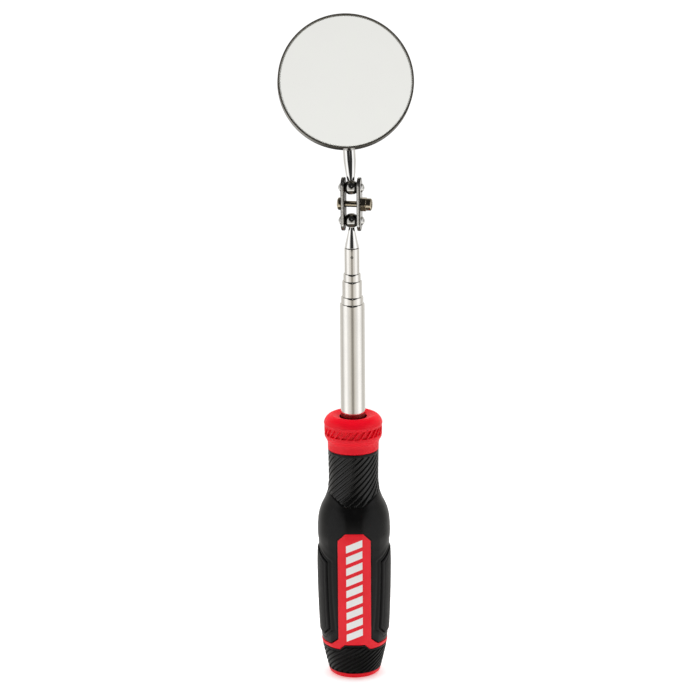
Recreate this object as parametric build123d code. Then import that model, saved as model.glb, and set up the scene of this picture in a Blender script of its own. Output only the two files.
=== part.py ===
"""Telescoping inspection mirror: mirror head, double-ball link, five-tube mast and grip.

Origin at the centre of the flat butt face, +Z up the mast, mirror and front panel towards -Y.
Millimetres throughout. Each piece is one node, written to parts/NODE.step.
"""
from build123d import *
from math import asin, cos, sin, sqrt
import os

# ---------------------------------------------------------------- driving dimensions
# handle
BUTT_R = 10.2           # flat of the butt plug
CAP_H = 2.3             # height of the butt plug's rim
GRIP_TOP = 102.6        # where the black neck meets the red collar
HANDLE_TOP = 118.0      # top face of the collar
# height and radius of the grip's surface: tail, belly, shoulder, waist, neck
GRIP_OUTLINE = [
    (CAP_H, 11.5), (8.0, 12.9), (13.7, 14.1), (20.0, 14.75), (30.0, 15.25), (40.0, 15.55),
    (51.0, 15.7), (60.0, 15.5), (65.5, 15.8), (70.5, 15.6), (73.6, 15.15), (76.9, 14.1),
    (80.6, 12.35), (84.3, 11.25), (89.8, 10.8), (GRIP_TOP, 10.95),
]
SKIN = 2.0              # thickness of the soft sleeve over the core
PANEL_HALF_W = 7.3      # front and back panel of the core
PANEL_TOP = 68.3
PANEL_TOP_HALF_W = 3.9
PANEL_CHAMFER_H = 3.7
BAND_H = 1.3            # zigzag band near the tail, at the sides of the handle
BAND_DIP_H = 2.0        # its height at the dips
BAND_FRONT_H = 2.2      # its height beside the panel
BAND_SIDE_Z = 14.4      # its lower edge at the sides of the handle
BAND_FRONT_Z = 16.6     # its lower edge under the panel
BAND_DIP_Z = 14.1       # its lowest points either side of the panel
PAD_HALF_W = 10.3       # side pads
PAD_TOP = 58.2
PAD_FOOT = 19.8
PAD_CORNER = 3.2        # cut off a pad's lower corners
PAD_SHOULDER_H = 4.3    # height of its slanted top
PAD_CREST_HALF_W = 2.5
PAD_PROUD = 0.42
PAD_DEPTH = 1.2         # depth of a pad's seat in the sleeve
COLLAR_NECK_H = 2.2     # straight foot of the collar
COLLAR_MAX_R = 12.65
COLLAR_MAX_Z = 112.2
COLLAR_CROWN_R = 9.6    # outer edge of the collar's flat top
COLLAR_LIP_R = 8.6      # and its inner edge, where the dish begins
COLLAR_DISH = 0.9       # depth of the dish round the mast
COLLAR_HOLE_R = 5.85
NOSE_R = 8.4            # core spigot inside the collar
NOSE_TOP = 113.5
CAVITY_R = 8.0          # hollow tail of the core
CAVITY_TOP = 15.5
CAP_SPIGOT_TOP = 7.5
CAP_WALL = 1.6

# mast: index 0 is tube_5, fixed in the handle, and index 4 is tube_1, the thinnest
TUBE_R = [5.3, 4.765, 4.23, 3.695, 3.16]
TUBE_TOP = [167.5, 170.6, 177.5, 180.7, 191.7]
TUBE_LENGTH = [149.5, 143.0, 143.0, 143.0, 150.0]
WALL = 0.3
RUNNING = 0.03          # radial clearance of a running fit
NECK_H = 2.4            # thickened top of a tube, inside
NECK_BAND = 0.9         # its bearing on the next tube
ROLL = 0.5              # rounding of a tube's top, outside
BEAD = 0.17             # height of the beads that keep a friction spring in place
BEAD_H = 0.6
SPRING_H = 9.0
SPRING_SLOT = 1.2
SPRING_Z = BEAD_H + 0.05
PLUG_H = 9.0
PIN_R = 1.2
PIN_HALF_LENGTH = 11.0
PIN_RISE = 4.0          # cross pin above the mast's foot
PIN_FIT = 0.01          # radial clearance of a pin in its hole

# double-ball link, turned about the mast
LINK_YAW = -9.5
BALL_R = 3.175
LOWER_BALL_Z = 203.7
UPPER_BALL_Z = 218.05
SCREW_Z = (LOWER_BALL_Z + UPPER_BALL_Z) / 2
PLATE_W = 7.0
PLATE_END = 4.4         # plate beyond a ball's centre
PLATE_CORNER_R = 3.45
PLATE_T = 1.55
PLATE_GAP = 5.3
SEAT_DOME_R = 2.22
SEAT_TOP = 5.6          # outermost point of a domed seat
SEAT_POCKET_R = 1.65
SCREW_R = 1.48
SCREW_HOLE_R = 1.62
HEAD_R = 2.7
HEAD_H = 1.8
HEAD_EDGE_Z = 0.8       # where the head's rounded edge begins
CROSS_W = 2.9           # cross recess: width, slot and depth
CROSS_SLOT = 0.65
CROSS_DEPTH = 1.0
NUT_AF = 5.5
NUT_HEX_H = 2.3
NUT_COLLAR_R = 2.6
NUT_COLLAR_H = 2.2
NUT_BORE_R = 1.9        # seat of the nylon ring
NUT_LIP_R = 1.75        # lip rolled over it
NUT_LIP_H = 0.3
CONE_BASE_R = 3.1
CONE_GROOVE_R = 2.75    # groove between the tube and the taper
CONE_GROOVE_H = 0.3
CONE_NECK_R = 1.15
STUD_SPIGOT_H = 7.0
STUD_PIN_Z = 188.3
STUD_PIN_R = 0.5

# mirror head, drawn upright about the upper ball and then tilted
HEAD_TILT = -21.0       # about X, backwards
HEAD_LEAN = -3.2        # about Y, to the left
HEAD_TURN = 3.4         # about the stem
STEM_R = 2.62
STEM_TAPER_Z = 11.3     # foot of the plain shank
STEM_WAIST = (2.1, 6.2)
STEM_NECK_R = 1.5
STEM_NECK_Z = 2.8
STEM_SPIGOT_R = 1.2
STEM_TOP = 52.0
MIRROR_Z = 44.2         # centre of the mirror along the stem
BEZEL_R = 28.8
BEZEL_DEPTH = 6.0
BEZEL_T = 0.55
BEZEL_BACK_R = 0.5      # rounding of the cup's back edge
BEZEL_RIM_R = 0.3       # and of its front edge
BEZEL_BACK_Y = -2.75    # back face of the cup, just in front of the stem's surface
GLASS_R = 28.18
GLASS_EDGE = 0.6        # glass below the cup's rim at its edge
GLASS_FACE = 0.28       # and at its face, inside the ground bevel
BEVEL_R = 27.6          # inner edge of the ground bevel
GLASS_T = 3.2
LIP_R = 28.2
CUSHION_R = 26.4
CUSHION_GAP = 0.02
SADDLE_W = 13.0
SADDLE_H = 24.0
SADDLE_T = 0.8
RIVET_R = 1.05
RIVET_HEAD_R = 2.1
RIVET_HEAD_H = 1.1
RIVET_FOOT_R = 1.8      # flat head inside the cup
RIVET_FOOT_H = 0.38
RIVET_X = 9.2
RIVET_Z = 8.0
REACH = 30.0            # half-length of a cutter that passes right through
FIT = 0.02              # radial clearance of a fixed fit


# ---------------------------------------------------------------- helpers
def turned(*outline):
    """Solid of revolution about Z from (radius, height) corners."""
    corners = [(r, z) for r, z in outline]
    return revolve(make_face(Plane.XZ * Polyline(*corners, close=True)), Axis.Z)


def cap_arc(base_r, low, height):
    """Arc of a spherical cap from its rim to its crown on the axis."""
    radius = (base_r ** 2 + height ** 2) / (2 * height)
    centre_z = low + height - radius
    half_angle = asin(base_r / radius) / 2
    middle = (radius * sin(half_angle), centre_z + radius * cos(half_angle))
    return ThreePointArc((base_r, low), middle, (0, low + height))


def capped_disc(base_r, low, height):
    """Solid spherical cap on a flat base."""
    outline = cap_arc(base_r, low, height) + Polyline((0, low + height), (0, low), (base_r, low))
    return revolve(make_face(Plane.XZ * outline), Axis.Z)


def ring(outer_r, inner_r, low, high):
    """Plain ring about Z."""
    return turned((inner_r, low), (outer_r, low), (outer_r, high), (inner_r, high))


def rod(radius, length, place):
    """Cylinder along the place's own Z, centred on it."""
    return place * Cylinder(radius, length)


def prism_y(outline, half_length=REACH):
    """Outline of (x, z) corners extruded both ways along Y."""
    return extrude(make_face(Plane.XZ * Polyline(*outline, close=True)), half_length, both=True)


def prism_x(outline, half_length=REACH):
    """Outline of (y, z) corners extruded both ways along X."""
    return extrude(make_face(Plane.YZ * Polyline(*outline, close=True)), half_length, both=True)


def both_sides(right_half):
    """Closed outline from its right half, listed from the bottom up."""
    return right_half + [(-x, z) for x, z in reversed(right_half)]


def solids_only(shape):
    """One solid, or a compound where a node is a group of solids."""
    pieces = list(shape.solids())
    return pieces[0] if len(pieces) == 1 else Compound(children=pieces)


# ---------------------------------------------------------------- handle
def grip_body(inset=0.0, swell=0.0):
    """The grip's outer form, its surface moved in or out, from the butt plug to the collar."""
    points = [(r - inset + swell, z) for z, r in GRIP_OUTLINE]
    side = Spline(*points)
    low = points[0]
    high = points[-1]
    frame = Polyline(high, (0, high[1]), (0, low[1]), low)
    return revolve(make_face(Plane.XZ * (side + frame)), Axis.Z)


def red_window():
    """Prism of all that shows red between tail and neck: the panel and the zigzag band."""
    reach = 20.0
    upper = [
        (reach, BAND_SIDE_Z + BAND_H),
        (PANEL_HALF_W + 2.8, BAND_DIP_Z + BAND_DIP_H),
        (PANEL_HALF_W, BAND_FRONT_Z + BAND_FRONT_H),
        (PANEL_HALF_W, PANEL_TOP - PANEL_CHAMFER_H),
        (PANEL_TOP_HALF_W, PANEL_TOP),
    ]
    lower = [
        (PANEL_TOP_HALF_W + 0.4, BAND_FRONT_Z),
        (PANEL_HALF_W - 0.5, BAND_DIP_Z),
        (reach, BAND_SIDE_Z),
    ]
    return prism_y(both_sides(lower + upper))


def pad_window():
    """Prism of the two side pads."""
    half = [
        (PAD_HALF_W - PAD_CORNER, PAD_FOOT),
        (PAD_HALF_W, PAD_FOOT + PAD_CORNER),
        (PAD_HALF_W, PAD_TOP - PAD_SHOULDER_H),
        (PAD_CREST_HALF_W, PAD_TOP),
    ]
    return prism_x(both_sides(half))


def make_grip():
    """Core, sleeve, tail ring and side pads, cut from one outer form so that they nest."""
    outer = grip_body()
    inner = grip_body(inset=SKIN)
    red = red_window()
    skin = outer - inner
    black = sorted((skin - red).solids(), key=lambda s: s.center().Z)
    tail = black[0]
    sleeve = black[-1]
    pads = (grip_body(swell=PAD_PROUD) - grip_body(inset=PAD_DEPTH)) & pad_window()
    sleeve = sleeve - pads
    pads = sorted(pads.solids(), key=lambda s: s.center().X)

    core = inner + (outer & red)
    core += Pos(0, 0, (GRIP_TOP + NOSE_TOP) / 2) * Cylinder(NOSE_R, NOSE_TOP - GRIP_TOP)
    core -= Pos(0, 0, HANDLE_TOP / 2) * Cylinder(TUBE_R[0] + FIT, HANDLE_TOP)
    core -= Pos(0, 0, CAVITY_TOP / 2) * Cylinder(CAVITY_R, CAVITY_TOP)
    core -= rod(PIN_R + PIN_FIT, 2 * PIN_HALF_LENGTH, Pos(0, 0, pin_z()) * Rot(0, 90, 0))
    return {
        "handle_core": core,
        "grip_sleeve": sleeve,
        "tail_grip": tail,
        "side_pad_left": pads[0],
        "side_pad_right": pads[-1],
    }


def make_end_cap():
    """Butt plug: a flat face with a rounded rim, and a hollow spigot in the core's tail."""
    rim = ThreePointArc((BUTT_R, 0), (BUTT_R + 0.95, 0.75), (GRIP_OUTLINE[0][1], CAP_H))
    spigot_r = CAVITY_R - FIT
    rest = Polyline(
        (GRIP_OUTLINE[0][1], CAP_H), (spigot_r, CAP_H), (spigot_r, CAP_SPIGOT_TOP),
        (spigot_r - CAP_WALL, CAP_SPIGOT_TOP), (spigot_r - CAP_WALL, CAP_H), (0, CAP_H), (0, 0), (BUTT_R, 0),
    )
    return revolve(make_face(Plane.XZ * (rim + rest)), Axis.Z)


def make_collar():
    """Finger ring: a plain neck, a bulge with a belt of slanted slots, and a dished top."""
    neck_r = GRIP_OUTLINE[-1][1] + 0.05
    side = Spline(
        (neck_r, GRIP_TOP + COLLAR_NECK_H), (11.4, 106.4), (12.25, 108.4), (COLLAR_MAX_R, COLLAR_MAX_Z),
        (12.2, 115.6), (10.9, 117.4), (COLLAR_CROWN_R, HANDLE_TOP),
        tangents=[(0, 1), (-1, 0.12)],
    )
    rest = Polyline(
        (COLLAR_CROWN_R, HANDLE_TOP), (COLLAR_LIP_R, HANDLE_TOP),
        (COLLAR_HOLE_R, HANDLE_TOP - COLLAR_DISH), (COLLAR_HOLE_R, NOSE_TOP), (NOSE_R + FIT, NOSE_TOP),
        (NOSE_R + FIT, GRIP_TOP), (neck_r, GRIP_TOP), (neck_r, GRIP_TOP + COLLAR_NECK_H),
    )
    return revolve(make_face(Plane.XZ * (side + rest)), Axis.Z)


# ---------------------------------------------------------------- mast
def foot(index):
    """Height of a tube's lower end."""
    return TUBE_TOP[index] - TUBE_LENGTH[index]


def pin_z():
    """Height of the cross pin in the foot of the mast."""
    return foot(0) + PIN_RISE


def make_tube(index):
    """One mast tube: rolled in at its top, with two keeper beads at the foot of a sliding one."""
    outer = TUBE_R[index]
    inner = outer - WALL
    low = foot(index)
    top = TUBE_TOP[index]
    if index == len(TUBE_R) - 1:
        tube = ring(outer, inner, low, top)
        tube -= rod(STUD_PIN_R + PIN_FIT, 4 * outer, Pos(0, 0, STUD_PIN_Z) * Rot(90, 0, 0))
    else:
        neck_inner = TUBE_R[index + 1] + RUNNING
        tube = turned(
            (inner, low), (outer, low), (outer, top - ROLL), (outer - 0.3 * ROLL, top - 0.3 * ROLL),
            (outer - 0.95 * ROLL, top), (neck_inner, top), (neck_inner, top - NECK_BAND),
            (inner, top - NECK_H),
        )
    if index == 0:
        tube -= rod(PIN_R + PIN_FIT, 4 * outer, Pos(0, 0, pin_z()) * Rot(0, 90, 0))
    else:
        for bead_low in (low, low + 2 * SPRING_Z - BEAD_H + SPRING_H):
            tube += ring(outer + BEAD, outer - WALL / 2, bead_low, bead_low + BEAD_H)
    return tube


def make_spring(index):
    """Split friction sleeve that rides between a sliding tube and the bore around it."""
    inner = TUBE_R[index] + RUNNING
    outer = TUBE_R[index - 1] - WALL - RUNNING
    low = foot(index) + SPRING_Z
    sleeve = ring(outer, inner, low, low + SPRING_H)
    slot = Pos(outer, 0, low + SPRING_H / 2) * Box(outer, SPRING_SLOT, 2 * SPRING_H)
    return sleeve - slot


def make_mast_plug():
    """Plug in the foot of tube_5, cross-bored for the pin."""
    radius = TUBE_R[0] - WALL - FIT
    low = foot(0)
    plug = turned(
        (0, low), (radius - 0.5, low), (radius, low + 0.5), (radius, low + PLUG_H), (0, low + PLUG_H)
    )
    return plug - rod(PIN_R + PIN_FIT, 4 * radius, Pos(0, 0, pin_z()) * Rot(0, 90, 0))


def make_ball_stud():
    """Spigot, taper and lower ball in one turned piece, cross-bored for its pin."""
    top = TUBE_TOP[-1]
    spigot_r = TUBE_R[-1] - WALL - FIT
    neck_z = LOWER_BALL_Z - sqrt(BALL_R ** 2 - CONE_NECK_R ** 2) + 0.1
    stud = turned(
        (0, top - STUD_SPIGOT_H), (spigot_r - 0.4, top - STUD_SPIGOT_H),
        (spigot_r, top - STUD_SPIGOT_H + 0.4), (spigot_r, top), (CONE_GROOVE_R, top),
        (CONE_GROOVE_R, top + CONE_GROOVE_H), (CONE_BASE_R, top + CONE_GROOVE_H),
        (CONE_NECK_R, neck_z), (0, neck_z),
    )
    stud += Pos(0, 0, LOWER_BALL_Z) * Sphere(BALL_R)
    return stud - rod(STUD_PIN_R + PIN_FIT, REACH, Pos(0, 0, STUD_PIN_Z) * Rot(90, 0, 0))


# ---------------------------------------------------------------- link
def on_link(shape):
    """A shape drawn with the link square to X, turned to the link's heading."""
    return Rot(0, 0, LINK_YAW) * shape


def make_plate():
    """Pressed link plate on the right, domed outwards over each ball."""
    spacing = UPPER_BALL_Z - LOWER_BALL_Z
    blank = Rectangle(spacing + 2 * PLATE_END, PLATE_W)
    blank = fillet(blank.vertices(), PLATE_CORNER_R)
    plate = Pos(0, 0, PLATE_GAP / 2) * extrude(blank, PLATE_T)
    plate = chamfer(plate.faces().sort_by(Axis.Z)[-1].edges(), 0.2)
    base_z = PLATE_GAP / 2 + PLATE_T / 2
    dome_z = SEAT_TOP - SEAT_DOME_R
    base_r = sqrt(SEAT_DOME_R ** 2 - (base_z - dome_z) ** 2)
    for x in (-spacing / 2, spacing / 2):
        plate += Pos(x, 0, 0) * capped_disc(base_r, base_z, SEAT_TOP - base_z)
        plate -= Pos(x, 0, dome_z - 0.1) * Sphere(SEAT_POCKET_R)
        plate -= Pos(x, 0, 0) * Sphere(BALL_R + RUNNING)
    plate -= Cylinder(SCREW_HOLE_R, 4 * PLATE_GAP)
    return Pos(0, 0, SCREW_Z) * Rot(0, 90, 0) * plate


def along_x(shape):
    """A piece turned about Z, laid along X through the screw's centre."""
    return on_link(Pos(0, 0, SCREW_Z) * Rot(0, 90, 0) * shape)


def make_screw():
    """Pan-head screw with a cross recess; its head is on the left plate."""
    outer_face = PLATE_GAP / 2 + PLATE_T
    tip = outer_face + NUT_HEX_H + NUT_COLLAR_H - 0.2
    seat = -outer_face
    edge = HEAD_H - HEAD_EDGE_Z
    side = ThreePointArc(
        (HEAD_R, seat - HEAD_EDGE_Z), (HEAD_R - 0.3 * edge, seat - HEAD_H + 0.3 * edge),
        (HEAD_R - edge, seat - HEAD_H),
    )
    rest = Polyline(
        (HEAD_R - edge, seat - HEAD_H), (0, seat - HEAD_H), (0, tip), (SCREW_R - 0.35, tip),
        (SCREW_R, tip - 0.35), (SCREW_R, seat), (HEAD_R, seat), (HEAD_R, seat - HEAD_EDGE_Z),
    )
    screw = revolve(make_face(Plane.XZ * (side + rest)), Axis.Z)
    for turn in (0, 90):
        screw -= Pos(0, 0, seat - HEAD_H) * Rot(0, 0, turn) * Box(CROSS_W, CROSS_SLOT, 2 * CROSS_DEPTH)
    return along_x(screw)


def make_nut():
    """Self-locking nut: hexagon, round collar and the groove that keeps its nylon ring."""
    low = PLATE_GAP / 2 + PLATE_T
    high = low + NUT_HEX_H + NUT_COLLAR_H
    corner_r = NUT_AF / sqrt(3)
    hexagon = Pos(0, 0, low) * extrude(RegularPolygon(corner_r, 6), NUT_HEX_H)
    bevelled = turned(
        (0, low), (corner_r - 0.35, low), (corner_r, low + 0.3), (corner_r, low + NUT_HEX_H - 0.3),
        (corner_r - 0.35, low + NUT_HEX_H), (0, low + NUT_HEX_H),
    )
    nut = (hexagon & bevelled) + ring(NUT_COLLAR_R, NUT_BORE_R, low + NUT_HEX_H - 0.2, high)
    nut += ring(NUT_COLLAR_R - 0.1, NUT_LIP_R, high - NUT_LIP_H, high)
    nut -= rod(SCREW_R + FIT, REACH, Pos(0, 0, 0))
    return along_x(nut)


def make_nut_insert():
    """Nylon ring in the nut's collar."""
    low = PLATE_GAP / 2 + PLATE_T + NUT_HEX_H + FIT
    high = low + NUT_COLLAR_H - NUT_LIP_H - 4 * FIT
    return along_x(ring(NUT_BORE_R - FIT, SCREW_R + FIT, low, high))


# ---------------------------------------------------------------- mirror head
def on_head(shape):
    """A shape drawn upright about the upper ball, put where the head rests."""
    place = Pos(0, 0, UPPER_BALL_Z) * Rot(0, HEAD_LEAN, 0) * Rot(HEAD_TILT, 0, 0)
    return place * Rot(0, 0, HEAD_TURN) * shape


def facing(shape):
    """A piece turned about Z with its front towards +Z, stood up to face -Y at the mirror."""
    return on_head(Pos(0, BEZEL_BACK_Y, MIRROR_Z) * Rot(90, 0, 0) * shape)


def make_upper_ball():
    """Ball bored for the stem's spigot and countersunk for its peened end."""
    ball = Sphere(BALL_R)
    ball -= Pos(0, 0, BALL_R + 2.75) * Box(10, 10, 2 * BALL_R)
    ball -= turned(
        (0, -5), (3.0, -5), (3.0, -2.9), (STEM_SPIGOT_R + RUNNING, -1.6),
        (STEM_SPIGOT_R + RUNNING, 5), (0, 5),
    )
    return on_head(ball)


def make_stem():
    """Stem behind the mirror: a shank, a taper to the neck, and a spigot through the ball."""
    stem = turned(
        (0, -2.6), (1.9, -2.6), (1.9, -2.3), (STEM_SPIGOT_R, -1.65), (STEM_SPIGOT_R, STEM_NECK_Z),
        (STEM_NECK_R, STEM_NECK_Z), STEM_WAIST, (STEM_R, STEM_TAPER_Z), (STEM_R, STEM_TOP - 0.6),
        (STEM_R - 0.6, STEM_TOP), (0, STEM_TOP),
    )
    return on_head(stem)


def make_bezel():
    """Pressed cup whose thin rim stands just proud of the glass."""
    inner_r = BEZEL_R - BEZEL_T
    bend = 1 - sqrt(0.5)
    back = ThreePointArc(
        (BEZEL_R - BEZEL_BACK_R, 0), (BEZEL_R - bend * BEZEL_BACK_R, bend * BEZEL_BACK_R),
        (BEZEL_R, BEZEL_BACK_R),
    )
    wall = Line((BEZEL_R, BEZEL_BACK_R), (BEZEL_R, BEZEL_DEPTH - BEZEL_RIM_R))
    rim = ThreePointArc(
        (BEZEL_R, BEZEL_DEPTH - BEZEL_RIM_R),
        (BEZEL_R - bend * BEZEL_RIM_R, BEZEL_DEPTH - bend * BEZEL_RIM_R),
        (BEZEL_R - BEZEL_RIM_R, BEZEL_DEPTH),
    )
    rest = Polyline(
        (BEZEL_R - BEZEL_RIM_R, BEZEL_DEPTH), (LIP_R + FIT, BEZEL_DEPTH), (LIP_R + FIT, glass_edge()),
        (inner_r, glass_edge()), (inner_r, BEZEL_T), (0, BEZEL_T), (0, 0), (BEZEL_R - BEZEL_BACK_R, 0),
    )
    cup = revolve(make_face(Plane.XZ * (back + wall + rim + rest)), Axis.Z)
    for x, y in rivet_spots():
        cup -= Pos(x, y, 0) * Cylinder(RIVET_R + PIN_FIT, 4 * BEZEL_T)
    return facing(cup)


def glass_edge():
    """Height of the glass's edge above the back of the cup."""
    return BEZEL_DEPTH - GLASS_EDGE


def make_glass():
    """Mirror glass with a narrow ground bevel at the front."""
    face = BEZEL_DEPTH - GLASS_FACE
    low = glass_edge() - GLASS_T
    return facing(turned(
        (0, low), (GLASS_R, low), (GLASS_R, glass_edge()), (BEVEL_R, face), (0, face)
    ))


def make_cushion():
    """Foam disc between the glass and the cup."""
    low = BEZEL_T + RIVET_FOOT_H + 2 * CUSHION_GAP
    top = glass_edge() - GLASS_T - CUSHION_GAP
    return facing(turned((0, low), (CUSHION_R, low), (CUSHION_R, top), (0, top)))


def rivet_spots():
    """Centres of the four saddle rivets, across and along the stem."""
    return [(x, y) for x in (-RIVET_X, RIVET_X) for y in (-RIVET_Z, RIVET_Z)]


def make_saddle():
    """Hat-shaped strap over the stem, flat on the back of the cup on both sides."""
    inner = STEM_R + FIT
    outer = inner + SADDLE_T
    web = -(BEZEL_BACK_Y + PIN_FIT)     # distance from the stem's axis to the cup's back
    crown = Circle(outer) + Pos(0, -outer / 2) * Rectangle(2 * outer, outer)
    flange = Pos(0, -web + SADDLE_T / 2) * Rectangle(2 * SADDLE_W, SADDLE_T)
    section = (crown + flange) & Pos(0, REACH / 2 - web) * Rectangle(2 * REACH, REACH)
    section -= Circle(inner)
    section -= Pos(0, -outer / 2) * Rectangle(2 * inner, outer)
    strap = Pos(0, 0, MIRROR_Z - SADDLE_H / 2) * extrude(section, SADDLE_H)
    for x, z in rivet_spots():
        strap -= rod(RIVET_R + PIN_FIT, REACH, Pos(x, 0, MIRROR_Z + z) * Rot(90, 0, 0))
    return on_head(strap)


def make_rivets():
    """Four rivets, one node: a round head behind the strap, a shank, a flat head in the cup."""
    web = -(BEZEL_BACK_Y + PIN_FIT)
    back = -web + SADDLE_T
    rivets = []
    for x, z in rivet_spots():
        head_low = back + PIN_FIT
        shank_low = BEZEL_BACK_Y - BEZEL_T - PIN_FIT
        rest = Polyline(
            (0, head_low + RIVET_HEAD_H), (0, shank_low - RIVET_FOOT_H),
            (RIVET_FOOT_R, shank_low - RIVET_FOOT_H), (RIVET_FOOT_R, shank_low), (RIVET_R, shank_low),
            (RIVET_R, head_low), (RIVET_HEAD_R, head_low),
        )
        dome = cap_arc(RIVET_HEAD_R, head_low, RIVET_HEAD_H)
        rivet = revolve(make_face(Plane.XZ * (dome + rest)), Axis.Z)
        rivets.append(on_head(Pos(x, 0, MIRROR_Z + z) * Rot(-90, 0, 0) * rivet))
    return Compound(children=[solid for rivet in rivets for solid in rivet.solids()])


# ---------------------------------------------------------------- all nodes
def make_all():
    """Every node by name."""
    nodes = make_grip()
    nodes["end_cap"] = make_end_cap()
    nodes["nose_collar"] = make_collar()
    nodes["mast_plug"] = make_mast_plug()
    nodes["mast_pin"] = rod(PIN_R, 2 * PIN_HALF_LENGTH - 0.2, Pos(0, 0, pin_z()) * Rot(0, 90, 0))
    for index in range(len(TUBE_R)):
        name = len(TUBE_R) - index
        nodes[f"tube_{name}"] = make_tube(index)
        if index:
            nodes[f"friction_spring_{name}"] = make_spring(index)
    nodes["ball_stud"] = make_ball_stud()
    nodes["stud_pin"] = rod(STUD_PIN_R, 2 * TUBE_R[-1], Pos(0, 0, STUD_PIN_Z) * Rot(90, 0, 0))
    plate = make_plate()
    nodes["link_plate_left"] = on_link(mirror(plate, Plane.YZ))
    nodes["link_plate_right"] = on_link(plate)
    nodes["clamp_screw"] = make_screw()
    nodes["clamp_nut"] = make_nut()
    nodes["nut_insert"] = make_nut_insert()
    nodes["upper_ball"] = make_upper_ball()
    nodes["mirror_stem"] = make_stem()
    nodes["stem_saddle"] = make_saddle()
    nodes["saddle_rivets"] = make_rivets()
    nodes["mirror_bezel"] = make_bezel()
    nodes["mirror_cushion"] = make_cushion()
    nodes["mirror_glass"] = make_glass()
    return nodes


os.makedirs("parts", exist_ok=True)
for node, shape in make_all().items():
    export_step(solids_only(shape), f"parts/{node}.step")
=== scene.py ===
"""Looks of the telescoping inspection mirror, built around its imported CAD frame.

Lengths are in millimetres in the CAD's own frame until a mesh is made, which is in metres.
Angles round the handle start at its front, -Y, and grow towards +X.
"""
import math

import bmesh
import bpy
import numpy as np
from mathutils import Matrix, Vector
from mathutils.geometry import delaunay_2d_cdt


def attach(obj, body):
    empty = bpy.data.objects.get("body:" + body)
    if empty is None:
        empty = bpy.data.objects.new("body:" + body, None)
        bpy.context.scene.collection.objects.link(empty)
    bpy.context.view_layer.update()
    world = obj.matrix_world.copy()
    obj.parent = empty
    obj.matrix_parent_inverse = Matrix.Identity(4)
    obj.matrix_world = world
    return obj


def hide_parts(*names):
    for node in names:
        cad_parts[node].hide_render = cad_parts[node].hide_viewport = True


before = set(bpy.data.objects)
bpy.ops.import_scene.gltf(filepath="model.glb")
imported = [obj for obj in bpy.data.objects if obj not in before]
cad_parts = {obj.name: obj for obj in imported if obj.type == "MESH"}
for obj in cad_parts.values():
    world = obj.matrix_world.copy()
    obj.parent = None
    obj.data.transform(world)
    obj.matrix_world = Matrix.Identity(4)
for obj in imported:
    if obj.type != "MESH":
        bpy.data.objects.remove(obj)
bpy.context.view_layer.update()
MM = 0.001

# ---- driving dimensions
CAP_H = 2.3
GRIP_TOP = 102.6
# height and radius of the grip's surface: tail, belly, shoulder, waist, neck
GRIP_OUTLINE = [
    (CAP_H, 11.5), (8.0, 12.9), (13.7, 14.1), (20.0, 14.75), (30.0, 15.25), (40.0, 15.55),
    (51.0, 15.7), (60.0, 15.5), (65.5, 15.8), (70.5, 15.6), (73.6, 15.15), (76.9, 14.1),
    (80.6, 12.35), (84.3, 11.25), (89.8, 10.8), (GRIP_TOP, 10.95),
]
BUTT_R = 10.2
CAP_SPIGOT_TOP = 7.5
HANDLE_TOP = 118.0
SKIN = 2.0
SLEEVE_T = 1.4           # of the black skins, which sit on the core
SEAM = 0.04              # gap between the black skins and the red band
GRIP_STEPS = 600         # points round the black skins
FACET_EDGE = 13.8        # degrees from the front line to the edge of the front facet
FACET_SIDE = 45.0        # and to where the facets run out into the round sides
FACET_CRISP = 110.0      # how sharply two facets meet
FACETS_FROM = (9, 20)    # heights over which the facets come up and fade out
FACETS_TO = (64, 82)
PANEL_HALF_W = 7.3
PANEL_TOP = 68.3
PANEL_TOP_HALF_W = 3.9
PANEL_CHAMFER_H = 3.7
PANEL_PROUD = 0.07
BAND_H = 1.3
BAND_DIP_H = 2.0
BAND_FRONT_H = 2.2
BAND_SIDE_Z = 14.4
BAND_FRONT_Z = 16.6
BAND_DIP_Z = 14.1
BAND_DIP_OUT = 2.8       # upper dip of the band, outwards from the panel
BAND_REACH = 20.0
PAD_HALF_W = 10.3
PAD_TOP = 58.2
PAD_FOOT = 19.8
PAD_PROUD = 0.42
PAD_FOOT_CUT = 3.2       # slanted corners at the foot and at the top
PAD_TOP_CUT = 4.3
PAD_TOP_HALF_W = 2.5
PAD_T = 1.2
PAD_SEAT_R = 15.5        # about the grip's radius under it
PAD_LINE = 1.35          # from a pad to the line pressed round it
PAD_LINE_DEPTH = 0.24
SUNK = 0.55              # the sleeve under the red and under the pads
SEAM_DEPTH = 0.22        # and in the line beside them
NOSE_R = 8.4
NOSE_TOP = 113.5
CAVITY_R = 8.0
CAVITY_TOP = 15.5
COLLAR_HOLE_R = 5.85
COLLAR_DISH = 0.9
RIB_TOP = 101.4
RIB_LOW_FRONT = 79.3     # where the neck's ribs start, in front and at the sides
RIB_LOW_SIDE = 83.4
RIB_FRONT_X = 3.6        # how far from the middle those two heights are
RIB_SIDE_X = 10.0
NECK_RIBS = 22
NECK_SLOPE = 0.88        # rise over run of a rib
NECK_R = 10.95
NECK_RIB_DEPTH = 0.46
NECK_EDGE_DEPTH = 0.34   # of the line pressed along the ribs' foot
TAIL_RIBS = 26
TAIL_SLOPE = 0.675
TAIL_R = 13.0
TAIL_RIB_DEPTH = 0.5
TAIL_EDGE = 1.15         # smooth edge above the tail's ribs
SLOTS = 26
SLOT_LOW = 109.7
SLOT_HIGH = 113.3
SLOT_LEAN = 0.77         # run over rise of a slot
SLOT_DEPTH = 0.75
COLLAR_R = 12.5
COLLAR_NECK_R = 11.0
BORE_SHADE = 0.9         # width of the painted shade round the collar's hole
MARKS = 9                # plain slanted bars printed on the front panel
MARK_LOW = 21.6          # middles of the lowest and the highest
MARK_HIGH = 62.6
MARK_HALF_W = 3.5
MARK_HALF_H = 1.65
MARK_SLANT = 0.42
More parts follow.
